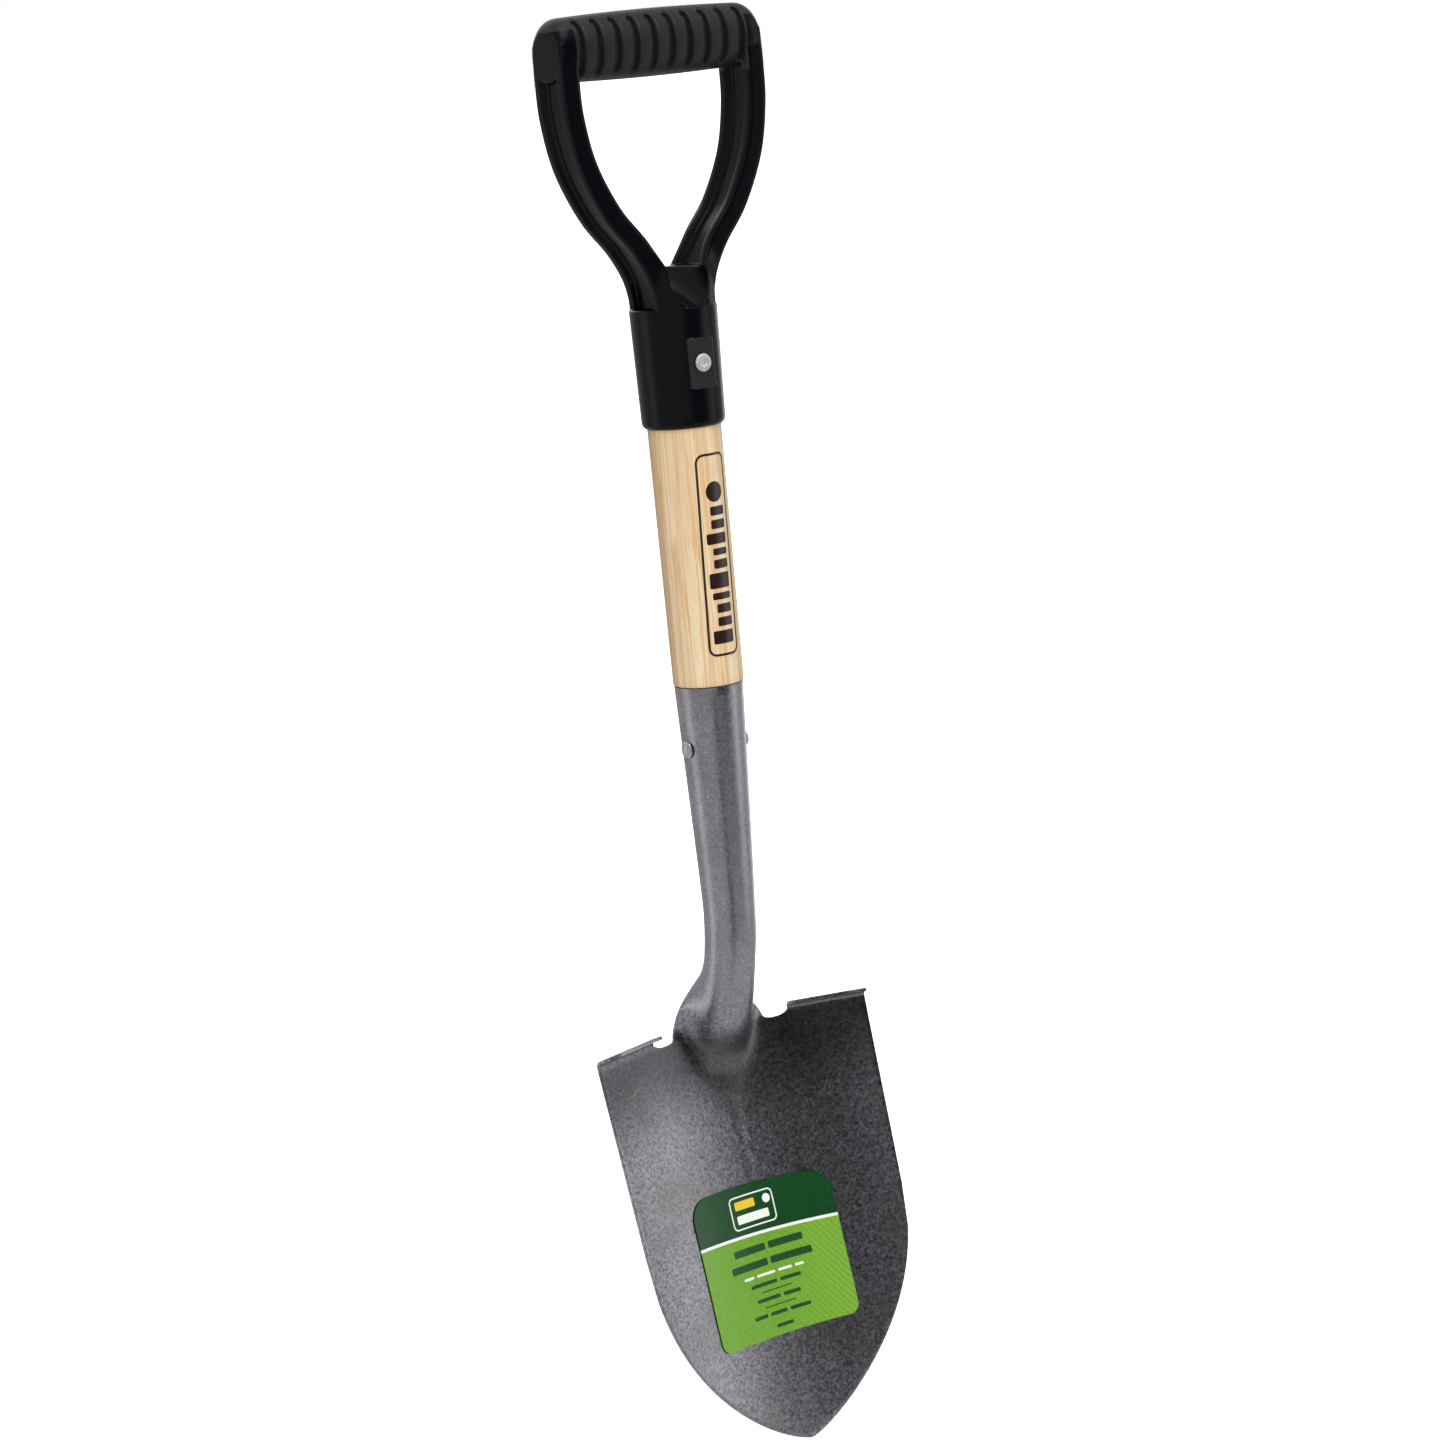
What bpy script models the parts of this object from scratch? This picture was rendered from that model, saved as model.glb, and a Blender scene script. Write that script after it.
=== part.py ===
"""Round point shovel with a D-grip: blade, handle, grip, rivets, label and print.

Units are metres. Heights are measured upwards from the blade's tip along the handle's axis, which is
the Z axis. The dish of the blade faces -Y. A parent empty lowers everything, so that the world's
origin is the point under the middle of the hand bar where the shovel hangs on a hook.
"""
import math

import bmesh
import bpy
import numpy as np
from mathutils import Matrix, Vector

# ---- driving dimensions -------------------------------------------------------------------------
HANG_HEIGHT = 0.6561            # underside of the hand bar above the tip
CLEARANCE = 0.0003              # gap kept between touching pieces

# blade
SHEET = 0.0017                  # sheet thickness
STEP_HEIGHT = 0.1990            # foot steps above the tip
STEP_HALF_WIDTH = 0.0789        # outer end of a foot step
STEP_INNER = 0.0402             # inner end of a foot step
WIDEST_HEIGHT = 0.108           # where the sides turn into the point
WIDEST_HALF_WIDTH = 0.0760
POINT_FULLNESS = (2.1, 0.74)    # the two exponents of the pointed outline
TIP_DEPTH = -0.0273             # Y of the tip
RAKE = 0.25                     # how far the blade runs back for each metre of height
DISH_RADIUS = 0.195             # radius of the blade's cross-section
STRIP_HALF_WIDTH = 0.0264       # half width of the middle strip that runs up into the socket
STRIP_HEIGHT = 0.1985           # where that strip leaves the blade
STRIP_NARROWING = 0.965         # the strip's width at the tip as a share of its width at the top
NOTCH_CENTRE = 0.0325           # the rounded notch between the strip and the step
NOTCH_HALF_WIDTH = 0.0077
NOTCH_DEPTH = 0.0029
LIP_LENGTH = 0.0080             # forward-turned foot step
LIP_ANGLE = math.radians(85)
LIP_BEND_RADIUS = 0.0028
LIP_END_SLANT = 0.0020          # how far the outer end of a step leans inwards
LIP_END_LENGTH = 0.0070         # length of the part that leans
STEP_STRAIGHTENING = 0.014      # height over which the dish flattens towards a step

# neck and socket
NECK_RADIUS = 0.0125
SOCKET_TOP = 0.3719
SOCKET_RADIUS = 0.0164          # outer radius at the mouth
NECK_TOP = 0.262                # where the taper ends
NECK_BEND = 0.250               # where the neck starts to run back
NECK_BEND_BLEND = 0.012         # softness of that bend
SEAM_OPENS = 0.238              # the back seam opens below this height
SEAM_HALF_ANGLE = math.radians(8)
SEAM_EASING = 1.5               # how gently the seam starts to open
RIDGE_HALF_WIDTH = 0.0255
RIDGE_BEND = 0.207              # where the ridge starts to dive into the dish
RIDGE_DIVE = 0.50               # how steeply it dives
RIDGE_BEND_BLEND = 0.010        # softness of that bend
RIDGE_RUN_OUT = 0.004           # softness of the ridge's end
RIDGE_NARROWEST = 0.15          # least share of the ridge's width
RIDGE_CROWN = 0.55              # the crown's share of the two radii across the ridge
RIDGE_END = 0.167               # its foot narrows to a point here
RIDGE_STEEPEST = math.radians(72)
RIDGE_ROWS = 0.17               # share of the blade's height that holds the ridge

# handle
WOOD_TOP_RADIUS = 0.0174
WOOD_LOW_RADIUS = 0.0168
WOOD_END = 0.545
WOOD_START = 0.284

# grip
FERRULE_BOTTOM = 0.4944
FERRULE_TOP = 0.5505
FERRULE_LOW_RADIUS = 0.0197
FERRULE_TOP_RADIUS = 0.0206
LEG_THICKNESS = 0.0100
LEG_DEPTH = 0.0250
LEG_RECESS = 0.0030             # depth of the channel on both sides of a leg
LEG_FLANGE = 0.0045             # thickness of the flanges beside that channel
LEG_CORNER = 0.0022             # chamfer on a leg's flanges
LEG_CHANNEL_SLOPE = 0.0012      # slope of the channel's walls
YOKE_TOP = 0.5860               # the legs keep one depth above this height
SCOOP_RADIUS = 0.0105           # the scoop between the legs, lower at the front
SCOOP_HEIGHT = 0.5708
SCOOP_TILT = math.radians(25)
CROTCH_LEVELS = ((0.5484, 0.0121), (0.5560, 0.0126), (0.5630, 0.0141), (0.5682, 0.0161))
CROTCH_INSET = 0.0006           # how far the web between the legs stands back from their faces
LEG_LINE = ((0.0110, 0.547), (0.0118, 0.556), (0.0148, 0.567), (0.0222, 0.580), (0.0349, 0.596),
            (0.0457, 0.618), (0.0504, 0.640), (0.0511, 0.658), (0.0506, 0.674))
BAR_HEIGHT = 0.6717
BAR_HALF_LENGTH = 0.0561
BAR_HALF_HEIGHT = 0.0156
BAR_HALF_DEPTH = 0.0140
BAR_CROWN = 0.0013
BAR_FULLNESS = 0.95             # 1 makes an elliptical bar, less a squarer one
BAR_END_RADIUS = 0.0074
GROOVE_COUNT = 10
GROOVE_PITCH = 0.0098
GROOVE_HALF_WIDTH = 0.0021
GROOVE_DEPTH = 0.0026
GROOVE_REACH = 0.0122           # how far a groove runs above and below the bar's middle
GROOVE_FADE = 0.0040            # height over which it runs out

# rivets
GRIP_RIVET_HEIGHT = 0.5245
SOCKET_RIVET_HEIGHT = 0.3420
RIVET_SHANK = 0.0022
RIVET_HOLE = 0.0025
PAD_DEPTH = 0.0204              # Y of the flat rivet pads, front and back
PAD_ROOT = 0.0184               # where a pad starts, inside the ferrule's wall
PAD_WIDTH = 0.0140
PAD_HEIGHT = 0.0240
WASHER_RADIUS = 0.0050
WASHER_THICKNESS = 0.0010
# profiles of the rivets' ends, as (radius, height above the seat)
DOMED_HEAD = ((0.0, 0.0006), (0.0014, 0.0006), (0.0021, 0.0013), (0.0034, 0.0011), (0.0043, 0.0005),
              (0.0043, 0.0))
CLENCHED_TAIL = ((0.0036, 0.0), (0.0036, 0.0008), (0.0026, 0.0014), (0.0014, 0.0004), (0.0, 0.0004))
LOW_HEAD = ((0.0, 0.0023), (0.0021, 0.0021), (0.0034, 0.0014), (0.0041, 0.0005), (0.0041, 0.0))
FULL_TAIL = ((0.0039, 0.0), (0.0039, 0.0010), (0.0034, 0.0021), (0.0022, 0.0027), (0.0, 0.0029))

# label and print
LABEL_HALF_WIDTH = 0.0410
LABEL_BOTTOM = 0.0508
LABEL_TOP = 0.1236
LABEL_ARCH = 0.0016             # how far its top edge falls to the sides
LABEL_TOP_CORNER = 0.0100
LABEL_LOW_CORNER = 0.0055
LABEL_THICKNESS = 0.0003
LABEL_GAP = 0.0004              # room for the blade's facets
PRINT_HALF_ANGLE = math.radians(31)
PRINT_BOTTOM = 0.386
PRINT_TOP = 0.4825
PRINT_THICKNESS = 0.0002


# ---- small helpers ------------------------------------------------------------------------------
def clear_scene():
    """Remove everything that the scene starts with."""
    for obj in list(bpy.data.objects):
        bpy.data.objects.remove(obj, do_unlink=True)


def smooth(value):
    """Ease from 0 to 1."""
    value = min(max(value, 0.0), 1.0)
    return value * value * (3.0 - 2.0 * value)


def soft_positive(value, blend):
    """Return value where it is positive and 0 where it is negative, with a rounded corner."""
    return 0.5 * (value + math.sqrt(value * value + blend * blend))


def make_material(name, colour, roughness, metallic=0.0):
    """Make a Principled material."""
    material = bpy.data.materials.new(name)
    material.use_nodes = True
    shader = material.node_tree.nodes["Principled BSDF"]
    shader.inputs["Base Color"].default_value = (*colour, 1.0)
    shader.inputs["Roughness"].default_value = roughness
    shader.inputs["Metallic"].default_value = metallic
    return material


def make_object(name, verts, faces, root, material=None):
    """Make a mesh object from points and faces, with its faces turned outwards."""
    mesh = bpy.data.meshes.new(name)
    mesh.from_pydata([tuple(v) for v in verts], [], faces)
    work = bmesh.new()
    work.from_mesh(mesh)
    bmesh.ops.recalc_face_normals(work, faces=work.faces)
    work.to_mesh(mesh)
    work.free()
    mesh.shade_smooth()
    mesh.set_sharp_from_angle(angle=math.radians(35))
    obj = bpy.data.objects.new(name, mesh)
    bpy.context.scene.collection.objects.link(obj)
    obj.parent = root
    if material:
        mesh.materials.append(material)
    return obj


def ring_faces(rings, size, cap_ends=True):
    """Faces that join closed rings of points, each ring holding the same number of points."""
    faces = []
    for r in range(rings - 1):
        for j in range(size):
            k = (j + 1) % size
            faces.append((r * size + j, r * size + k, (r + 1) * size + k, (r + 1) * size + j))
    if cap_ends:
        faces.append(tuple(range(size)))
        faces.append(tuple((rings - 1) * size + j for j in reversed(range(size))))
    return faces


def turned(name, profile, root, material=None, segments=32, axis="Z"):
    """Turn a profile of (radius, height) points that starts and ends on the axis."""
    inner = profile[1:-1]
    verts = []
    for radius, height in inner:
        for k in range(segments):
            angle = 2 * math.pi * k / segments
            verts.append(Vector((radius * math.cos(angle), radius * math.sin(angle), height)))
    faces = ring_faces(len(inner), segments, cap_ends=False)
    for end, ring in ((profile[0], 0), (profile[-1], len(inner) - 1)):
        verts.append(Vector((0.0, 0.0, end[1])))
        for k in range(segments):
            faces.append((ring * segments + k, ring * segments + (k + 1) % segments, len(verts) - 1))
    turn = {"Z": Matrix.Identity(3),
            "Y": Matrix.Rotation(math.radians(90), 3, "X"),
            "X": Matrix.Rotation(math.radians(90), 3, "Y")}[axis]
    return make_object(name, [turn @ v for v in verts], faces, root, material)


def boolean(target, other, operation):
    """Cut target with other or join other to it, keeping other as a hidden guide."""
    modifier = target.modifiers.new(other.name, "BOOLEAN")
    modifier.operation = operation
    modifier.solver = "EXACT"
    modifier.object = other
    other.hide_render = True
    other.display_type = "WIRE"


def box(name, low, high, root):
    """A box between two corners."""
    corners = [(x, y, z) for x in (low[0], high[0]) for y in (low[1], high[1]) for z in (low[2], high[2])]
    faces = [(0, 1, 3, 2), (4, 6, 7, 5), (0, 4, 5, 1), (2, 3, 7, 6), (0, 2, 6, 4), (1, 5, 7, 3)]
    return make_object(name, corners, faces, root)


def rod(name, radius, half_length, centre, root, axis, segments=20):
    """A plain round rod, used as a cutter for holes."""
    profile = [(0, -half_length), (radius, -half_length), (radius, half_length), (0, half_length)]
    obj = turned(name, profile, root, segments=segments, axis=axis)
    obj.location = centre
    return obj


# ---- blade: one pressed sheet from tip to socket mouth --------------------------------------------
def blade_half_width(height):
    """Half width of the blade's outline at a height."""
    if height >= WIDEST_HEIGHT:
        share = (height - WIDEST_HEIGHT) / (STEP_HEIGHT - WIDEST_HEIGHT)
        return WIDEST_HALF_WIDTH + (STEP_HALF_WIDTH - WIDEST_HALF_WIDTH) * share
    power, fullness = POINT_FULLNESS
    down = 1.0 - max(height, 0.0) / WIDEST_HEIGHT
    return WIDEST_HALF_WIDTH * max(1.0 - down ** power, 0.0) ** fullness


def outline_height(share):
    """Height of the pointed outline at a share of the widest half width."""
    power, fullness = POINT_FULLNESS
    down = max(1.0 - share ** (1.0 / fullness), 0.0) ** (1.0 / power)
    return WIDEST_HEIGHT * (1.0 - down)


def dish(x, z):
    """Y of the plain dish, before the ridge is raised on it."""
    base = TIP_DEPTH + RAKE * z
    round_y = base - x * x / (2 * DISH_RADIUS)
    if abs(x) <= STEP_INNER:
        return round_y
    inner_y = base - STEP_INNER ** 2 / (2 * DISH_RADIUS)
    outer_y = base - STEP_HALF_WIDTH ** 2 / (2 * DISH_RADIUS)
    share = (abs(x) - STEP_INNER) / (STEP_HALF_WIDTH - STEP_INNER)
    straight_y = inner_y + (outer_y - inner_y) * share
    weight = smooth(1.0 - (STEP_HEIGHT - z) / STEP_STRAIGHTENING)
    return round_y + (straight_y - round_y) * weight


def front_line(z):
    """Y of the middle of the sheet along the front of the socket, neck and ridge."""
    taper = max(z - NECK_TOP, 0.0) / (SOCKET_TOP - NECK_TOP)
    radius = NECK_RADIUS + (SOCKET_RADIUS - NECK_RADIUS) * taper - SHEET / 2
    neck = RAKE * soft_positive(NECK_BEND - z, NECK_BEND_BLEND)
    return -radius + neck + RIDGE_DIVE * soft_positive(RIDGE_BEND - z, RIDGE_BEND_BLEND)


def ridge_height(z):
    """How far the ridge stands in front of the dish on the centre line."""
    return soft_positive(dish(0.0, z) - front_line(z), RIDGE_RUN_OUT)


def ridge_half_width(z):
    """Half width of the ridge's foot, which narrows as the ridge runs out."""
    share = min(max((z - RIDGE_END) / (STRIP_HEIGHT - RIDGE_END), 0.0), 1.0)
    return RIDGE_HALF_WIDTH * max(share, RIDGE_NARROWEST)


def ridge_profile(z, count=160):
    """Dense half section (x, y) of the middle strip in the blade, from the centre outwards."""
    height, half = ridge_height(z), ridge_half_width(z)
    theta = min(RIDGE_STEEPEST, 2 * math.atan(height / half))
    cot = math.cos(theta) / math.sin(theta)
    radii = (half - height * cot) / (math.sin(theta) - (1 - math.cos(theta)) * cot)
    wall = max((height - radii * (1 - math.cos(theta))) / math.sin(theta), 0.0)
    crown, fillet = RIDGE_CROWN * radii, (1 - RIDGE_CROWN) * radii
    lengths = [crown * theta, wall, fillet * theta]
    points = []
    for s in np.linspace(0.0, sum(lengths), count):
        if s <= lengths[0]:
            a = s / crown
            x, y = crown * math.sin(a), crown * (1 - math.cos(a))
        elif s <= lengths[0] + lengths[1]:
            d = s - lengths[0]
            x = crown * math.sin(theta) + d * math.cos(theta)
            y = crown * (1 - math.cos(theta)) + d * math.sin(theta)
        else:
            a = theta - (s - lengths[0] - lengths[1]) / fillet
            x = half - fillet * math.sin(a)
            y = height - fillet * (1 - math.cos(a))
        points.append((x, y - height))
    points.append((STRIP_HALF_WIDTH, 0.0))
    return [(x, y + dish(x, z)) for x, y in points]


def even_points(points, count):
    """Points at even distances along a polyline."""
    points = np.array(points)
    steps = np.hypot(*np.diff(points, axis=0).T)
    along = np.concatenate(([0.0], np.cumsum(steps)))
    wanted = np.linspace(0.0, along[-1], count + 1)
    return np.column_stack([np.interp(wanted, along, points[:, i]) for i in (0, 1)]), along[-1]


def strip_section(z, count):
    """Half section of the middle strip at a height, from the centre line to its edge."""
    if z <= STRIP_HEIGHT:
        return even_points(ridge_profile(z), count)[0]
    dense = 120
    open_points, open_length = even_points(ridge_profile(STRIP_HEIGHT), dense)
    steps = np.diff(open_points, axis=0)
    open_heading = np.arctan2(steps[:, 1], steps[:, 0])
    taper = min((SOCKET_TOP - z) / (SOCKET_TOP - NECK_TOP), 1.0)
    radius = SOCKET_RADIUS + (NECK_RADIUS - SOCKET_RADIUS) * taper - SHEET / 2
    turn = math.pi - SEAM_HALF_ANGLE
    round_heading = turn * (np.arange(dense) + 0.5) / dense
    opening = (max(SEAM_OPENS - z, 0.0) / (SEAM_OPENS - STRIP_HEIGHT)) ** SEAM_EASING
    heading = (1 - opening) * round_heading + opening * open_heading
    length = (1 - opening) * radius * turn + opening * open_length
    step = length / dense
    x = np.concatenate(([0.0], np.cumsum(np.cos(heading) * step)))
    y = front_line(z) + np.concatenate(([0.0], np.cumsum(np.sin(heading) * step)))
    return even_points(np.column_stack([x, y]), count)[0]


def wing_top(x):
    """Height of the blade's top edge outside the middle strip."""
    if abs(x) >= STEP_INNER:
        return STEP_HEIGHT
    share = min(abs(abs(x) - NOTCH_CENTRE) / NOTCH_HALF_WIDTH, 1.0)
    return STEP_HEIGHT - NOTCH_DEPTH * (1.0 - share ** 4)


def wing_columns(notch_count, step_count):
    """Distances from the centre of the columns outside the middle strip."""
    notch = np.linspace(STRIP_HALF_WIDTH, STEP_INNER, notch_count + 1)[1:]
    step = np.linspace(STEP_INNER, STEP_HALF_WIDTH, step_count + 1)[1:]
    return list(notch) + list(step)


def step_edge(x, side):
    """A point on the top edge of the sheet above a step."""
    return Vector((side * x, dish(x, STEP_HEIGHT), STEP_HEIGHT))


def step_lip(x, side, bend_rows, flat_rows):
    """Points of the forward-turned step above one column, from the bend to its free edge."""
    inner, outer = step_edge(STEP_INNER, side), step_edge(STEP_HALF_WIDTH, side)
    edge = (outer - inner).normalized() * side
    up = Vector((0.0, RAKE, 1.0)).normalized()
    up = (up - edge * up.dot(edge)).normalized()
    forward = up.cross(edge).normalized()
    if forward.y > 0:
        forward.negate()
    start = step_edge(x, side)
    points = []
    for k in range(1, bend_rows + 1):
        a = LIP_ANGLE * k / bend_rows
        points.append(start + LIP_BEND_RADIUS * (math.sin(a) * up + (1 - math.cos(a)) * forward))
    direction = up * math.cos(LIP_ANGLE) + forward * math.sin(LIP_ANGLE)
    at_end = smooth((x - STEP_HALF_WIDTH + LIP_END_LENGTH) / LIP_END_LENGTH)
    slant = -edge * side * LIP_END_SLANT * at_end
    length = LIP_LENGTH - LIP_BEND_RADIUS
    for k in range(1, flat_rows + 1):
        points.append(points[bend_rows - 1] + (direction * length + slant) * k / flat_rows)
    return points


def build_blade(root, material):
    """The blade, its foot steps, neck and socket in one sheet."""
    strip, notch, step, bend_rows, flat_rows = 12, 5, 6, 3, 2
    shares = list(np.linspace(0.0, RIDGE_ROWS, 8)) + list(np.linspace(RIDGE_ROWS, 1.0, 14)[1:])
    rows = len(shares) - 1
    outer = wing_columns(notch, step)
    last = strip + len(outer)
    columns = [(-1, j) for j in range(last, 0, -1)] + [(1, j) for j in range(last + 1)]
    index, verts, faces = {}, [], []

    def add(column, row, point):
        index[column, row] = len(verts)
        verts.append(point)

    strip_low = even_points(ridge_profile(STRIP_HEIGHT), strip)[0]
    for c, (side, j) in enumerate(columns):
        top_x = strip_low[j][0] if j <= strip else outer[j - strip - 1]
        top_z = STRIP_HEIGHT if j <= strip else wing_top(top_x)
        share = top_x / STEP_HALF_WIDTH
        low_z = outline_height(share)
        for r in range(rows + 1):
            z = top_z + (low_z - top_z) * shares[r]
            if j <= strip:
                section = strip_section(z, strip)
                x = section[j][0] + (top_x * STRIP_NARROWING - section[j][0]) * shares[r]
                dense = np.array(ridge_profile(z))
                y = float(np.interp(x, dense[:, 0], dense[:, 1]))
            else:
                x = share * blade_half_width(max(z, WIDEST_HEIGHT))
                y = dish(x, z)
            add(c, r, Vector((side * x, y, z)))
        if j > strip and top_x >= STEP_INNER - 1e-6:
            for k, point in enumerate(step_lip(top_x, side, bend_rows, flat_rows)):
                add(c, -1 - k, point)
    neck = list(np.linspace(STRIP_HEIGHT, NECK_TOP, 12)[1:])
    neck += list(np.linspace(NECK_TOP, SOCKET_TOP, 6)[1:])
    for r, z in enumerate(neck):
        section = strip_section(z, strip)
        for c, (side, j) in enumerate(columns):
            if j <= strip:
                add(c, -1 - r, Vector((side * section[j][0], section[j][1], z)))
    lowest = -len(neck)
    for c in range(len(columns) - 1):
        for r in range(lowest, rows):
            corners = [(c, r), (c + 1, r), (c + 1, r + 1), (c, r + 1)]
            if all(corner in index for corner in corners):
                faces.append(tuple(index[corner] for corner in corners))
    blade = make_object("blade", verts, faces, root, material)
    thicken = blade.modifiers.new("sheet", "SOLIDIFY")
    thicken.thickness = SHEET
    thicken.offset = 0.0
    thicken.use_even_offset = True
    return blade


# ---- handle ---------------------------------------------------------------------------------------
def socket_inner_radius(z):
    """Inner radius of the socket at a height."""
    share = (z - NECK_TOP) / (SOCKET_TOP - NECK_TOP)
    return NECK_RADIUS + (SOCKET_RADIUS - NECK_RADIUS) * share - SHEET


def build_handle(root, material):
    """The turned ash handle with its tapered end inside the socket."""
    shoulder = SOCKET_TOP + CLEARANCE
    fit = 2 * CLEARANCE
    profile = [(0, WOOD_START),
               (socket_inner_radius(WOOD_START) - 0.002, WOOD_START),
               (socket_inner_radius(WOOD_START + 0.002) - fit, WOOD_START + 0.002),
               (socket_inner_radius(SOCKET_RIVET_HEIGHT) - fit, SOCKET_RIVET_HEIGHT),
               (socket_inner_radius(SOCKET_TOP) - fit, shoulder),
               (WOOD_LOW_RADIUS - 0.0006, shoulder),
               (WOOD_LOW_RADIUS, shoulder + 0.0008),
               (WOOD_TOP_RADIUS, FERRULE_BOTTOM),
               (WOOD_TOP_RADIUS, WOOD_END - 0.002),
               (WOOD_TOP_RADIUS - 0.002, WOOD_END),
               (0, WOOD_END)]
    return turned("handle", profile, root, material)


# ---- grip -----------------------------------------------------------------------------------------
def spline(points, count):
    """Even points along a Catmull-Rom curve through 2-D points."""
    p = np.array(points)
    p = np.vstack([2 * p[0] - p[1], p, 2 * p[-1] - p[-2]])
    dense = []
    for i in range(1, len(p) - 2):
        for t in np.linspace(0, 1, 20, endpoint=False):
            a, b, c, d = p[i - 1:i + 3]
            dense.append(0.5 * (2 * b + (c - a) * t + (2 * a - 5 * b + 4 * c - d) * t * t
                                + (3 * b - a - 3 * c + d) * t ** 3))
    dense.append(p[-2])
    return even_points(dense, count)[0]


def leg_section():
    """Outline of a leg across its run, as (outward, depth) points with a recess on both sides."""
    half, deep = LEG_THICKNESS / 2, LEG_DEPTH / 2
    quarter = [(half - LEG_CORNER, deep), (half, deep - LEG_CORNER), (half, deep - LEG_FLANGE),
               (half - LEG_RECESS, deep - LEG_FLANGE - LEG_CHANNEL_SLOPE)]
    outer = quarter + [(p, -y) for p, y in reversed(quarter)]
    return outer + [(-p, y) for p, y in reversed(outer)]


def yoke_depth(x, z):
    """Half depth of the grip: round like the ferrule at its foot, flat higher up."""
    round_depth = math.sqrt(max((FERRULE_TOP_RADIUS - 0.0002) ** 2 - x * x, (LEG_DEPTH / 2) ** 2))
    share = smooth((z - FERRULE_TOP) / (YOKE_TOP - FERRULE_TOP))
    return round_depth + (LEG_DEPTH / 2 - round_depth) * share


def build_leg(side, root):
    """One leg of the grip, swept along its line."""
    line = spline(LEG_LINE, 16)
    tangents = np.gradient(line, axis=0)
    section = leg_section()
    verts = []
    for (x, z), (dx, dz) in zip(line, tangents):
        size = math.hypot(dx, dz)
        for outward, depth in section:
            point_x, point_z = x + outward * dz / size, z - outward * dx / size
            deeper = yoke_depth(point_x, point_z) - LEG_DEPTH / 2
            verts.append((side * point_x, depth + math.copysign(deeper, depth), point_z))
    name = "leg_left" if side < 0 else "leg_right"
    return make_object(name, verts, ring_faces(len(line), len(section)), root)


def bar_stations():
    """X positions of the bar's cross-sections with the groove depth at each."""
    half = BAR_HALF_LENGTH
    ends = [half, half - 0.0006, half - 0.0020, half - 0.0045, half - 0.0075]
    stations = [(-x, 0.0) for x in ends]
    for k in range(GROOVE_COUNT):
        middle = (k - (GROOVE_COUNT - 1) / 2) * GROOVE_PITCH
        for offset, depth in ((-1.0, 0.0), (-0.55, 1.0), (0.55, 1.0), (1.0, 0.0)):
            stations.append((middle + offset * GROOVE_HALF_WIDTH, depth))
    return stations + [(x, 0.0) for x in reversed(ends)]


def bar_section(x, groove, segments):
    """One cross-section of the crowned hand bar."""
    crown = BAR_CROWN * (x / BAR_HALF_LENGTH) ** 2
    into_end = max(abs(x) - BAR_HALF_LENGTH + BAR_END_RADIUS, 0.0)
    drop = BAR_END_RADIUS - math.sqrt(max(BAR_END_RADIUS ** 2 - into_end ** 2, 0.0))
    top = BAR_HEIGHT + BAR_HALF_HEIGHT - crown - drop
    bottom = BAR_HEIGHT - BAR_HALF_HEIGHT + crown
    middle, half_height = (top + bottom) / 2, (top - bottom) / 2
    half_depth = BAR_HALF_DEPTH - 0.5 * crown - 0.35 * drop
    points = []
    for k in range(segments):
        angle = 2 * math.pi * (k + 0.5) / segments
        cosine, sine = math.cos(angle), math.sin(angle)
        y = half_depth * math.copysign(abs(cosine) ** BAR_FULLNESS, cosine)
        z = half_height * math.copysign(abs(sine) ** BAR_FULLNESS, sine)
        fade = smooth((GROOVE_REACH - abs(z)) / GROOVE_FADE)
        y -= math.copysign(GROOVE_DEPTH * groove * fade, y)
        points.append((x, y, middle + z))
    return points


def build_bar(root):
    """The hand bar with its finger grooves."""
    segments = 24
    stations = bar_stations()
    verts = [point for x, groove in stations for point in bar_section(x, groove, segments)]
    return make_object("hand_bar", verts, ring_faces(len(stations), segments), root)


def build_crotch(root):
    """The web between the feet of the legs."""
    columns = 8
    verts = []
    for z, half in CROTCH_LEVELS:
        xs = np.linspace(-half, half, columns)
        verts += [(x, CROTCH_INSET - yoke_depth(x, z), z) for x in xs]
        verts += [(x, yoke_depth(x, z) - CROTCH_INSET, z) for x in reversed(xs)]
    return make_object("crotch", verts, ring_faces(len(CROTCH_LEVELS), 2 * columns), root)


def build_grip(root, material):
    """The moulded D-grip: ferrule, legs, hand bar and crotch in one body."""
    bore = WOOD_TOP_RADIUS + CLEARANCE
    profile = [(0, FERRULE_TOP), (FERRULE_TOP_RADIUS - 0.0008, FERRULE_TOP),
               (FERRULE_TOP_RADIUS, FERRULE_TOP - 0.0008),
               (FERRULE_LOW_RADIUS, FERRULE_BOTTOM + 0.0020),
               (FERRULE_LOW_RADIUS - 0.0007, FERRULE_BOTTOM + 0.0006),
               (FERRULE_LOW_RADIUS - 0.0020, FERRULE_BOTTOM),
               (bore, FERRULE_BOTTOM), (bore, WOOD_END - 0.002 + CLEARANCE),
               (bore - 0.002, WOOD_END + CLEARANCE), (0, WOOD_END + CLEARANCE)]
    grip = turned("d_grip", profile, root, material, segments=40)
    for piece in (build_leg(-1, root), build_leg(1, root), build_bar(root), build_crotch(root)):
        boolean(grip, piece, "UNION")
    scoop = rod("scoop", SCOOP_RADIUS, 0.040, (0.0, 0.0, SCOOP_HEIGHT), root, "Y", segments=28)
    scoop.rotation_euler.x = SCOOP_TILT
    boolean(grip, scoop, "DIFFERENCE")
    for name, side in (("pad_front", -1), ("pad_back", 1)):
        low_y, high_y = sorted((side * PAD_ROOT, side * PAD_DEPTH))
        low_z, high_z = GRIP_RIVET_HEIGHT - PAD_HEIGHT / 2, GRIP_RIVET_HEIGHT + PAD_HEIGHT / 2
        pad = box(name, (-PAD_WIDTH / 2, low_y, low_z), (PAD_WIDTH / 2, high_y, high_z), root)
        boolean(grip, pad, "UNION")
    return grip


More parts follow.
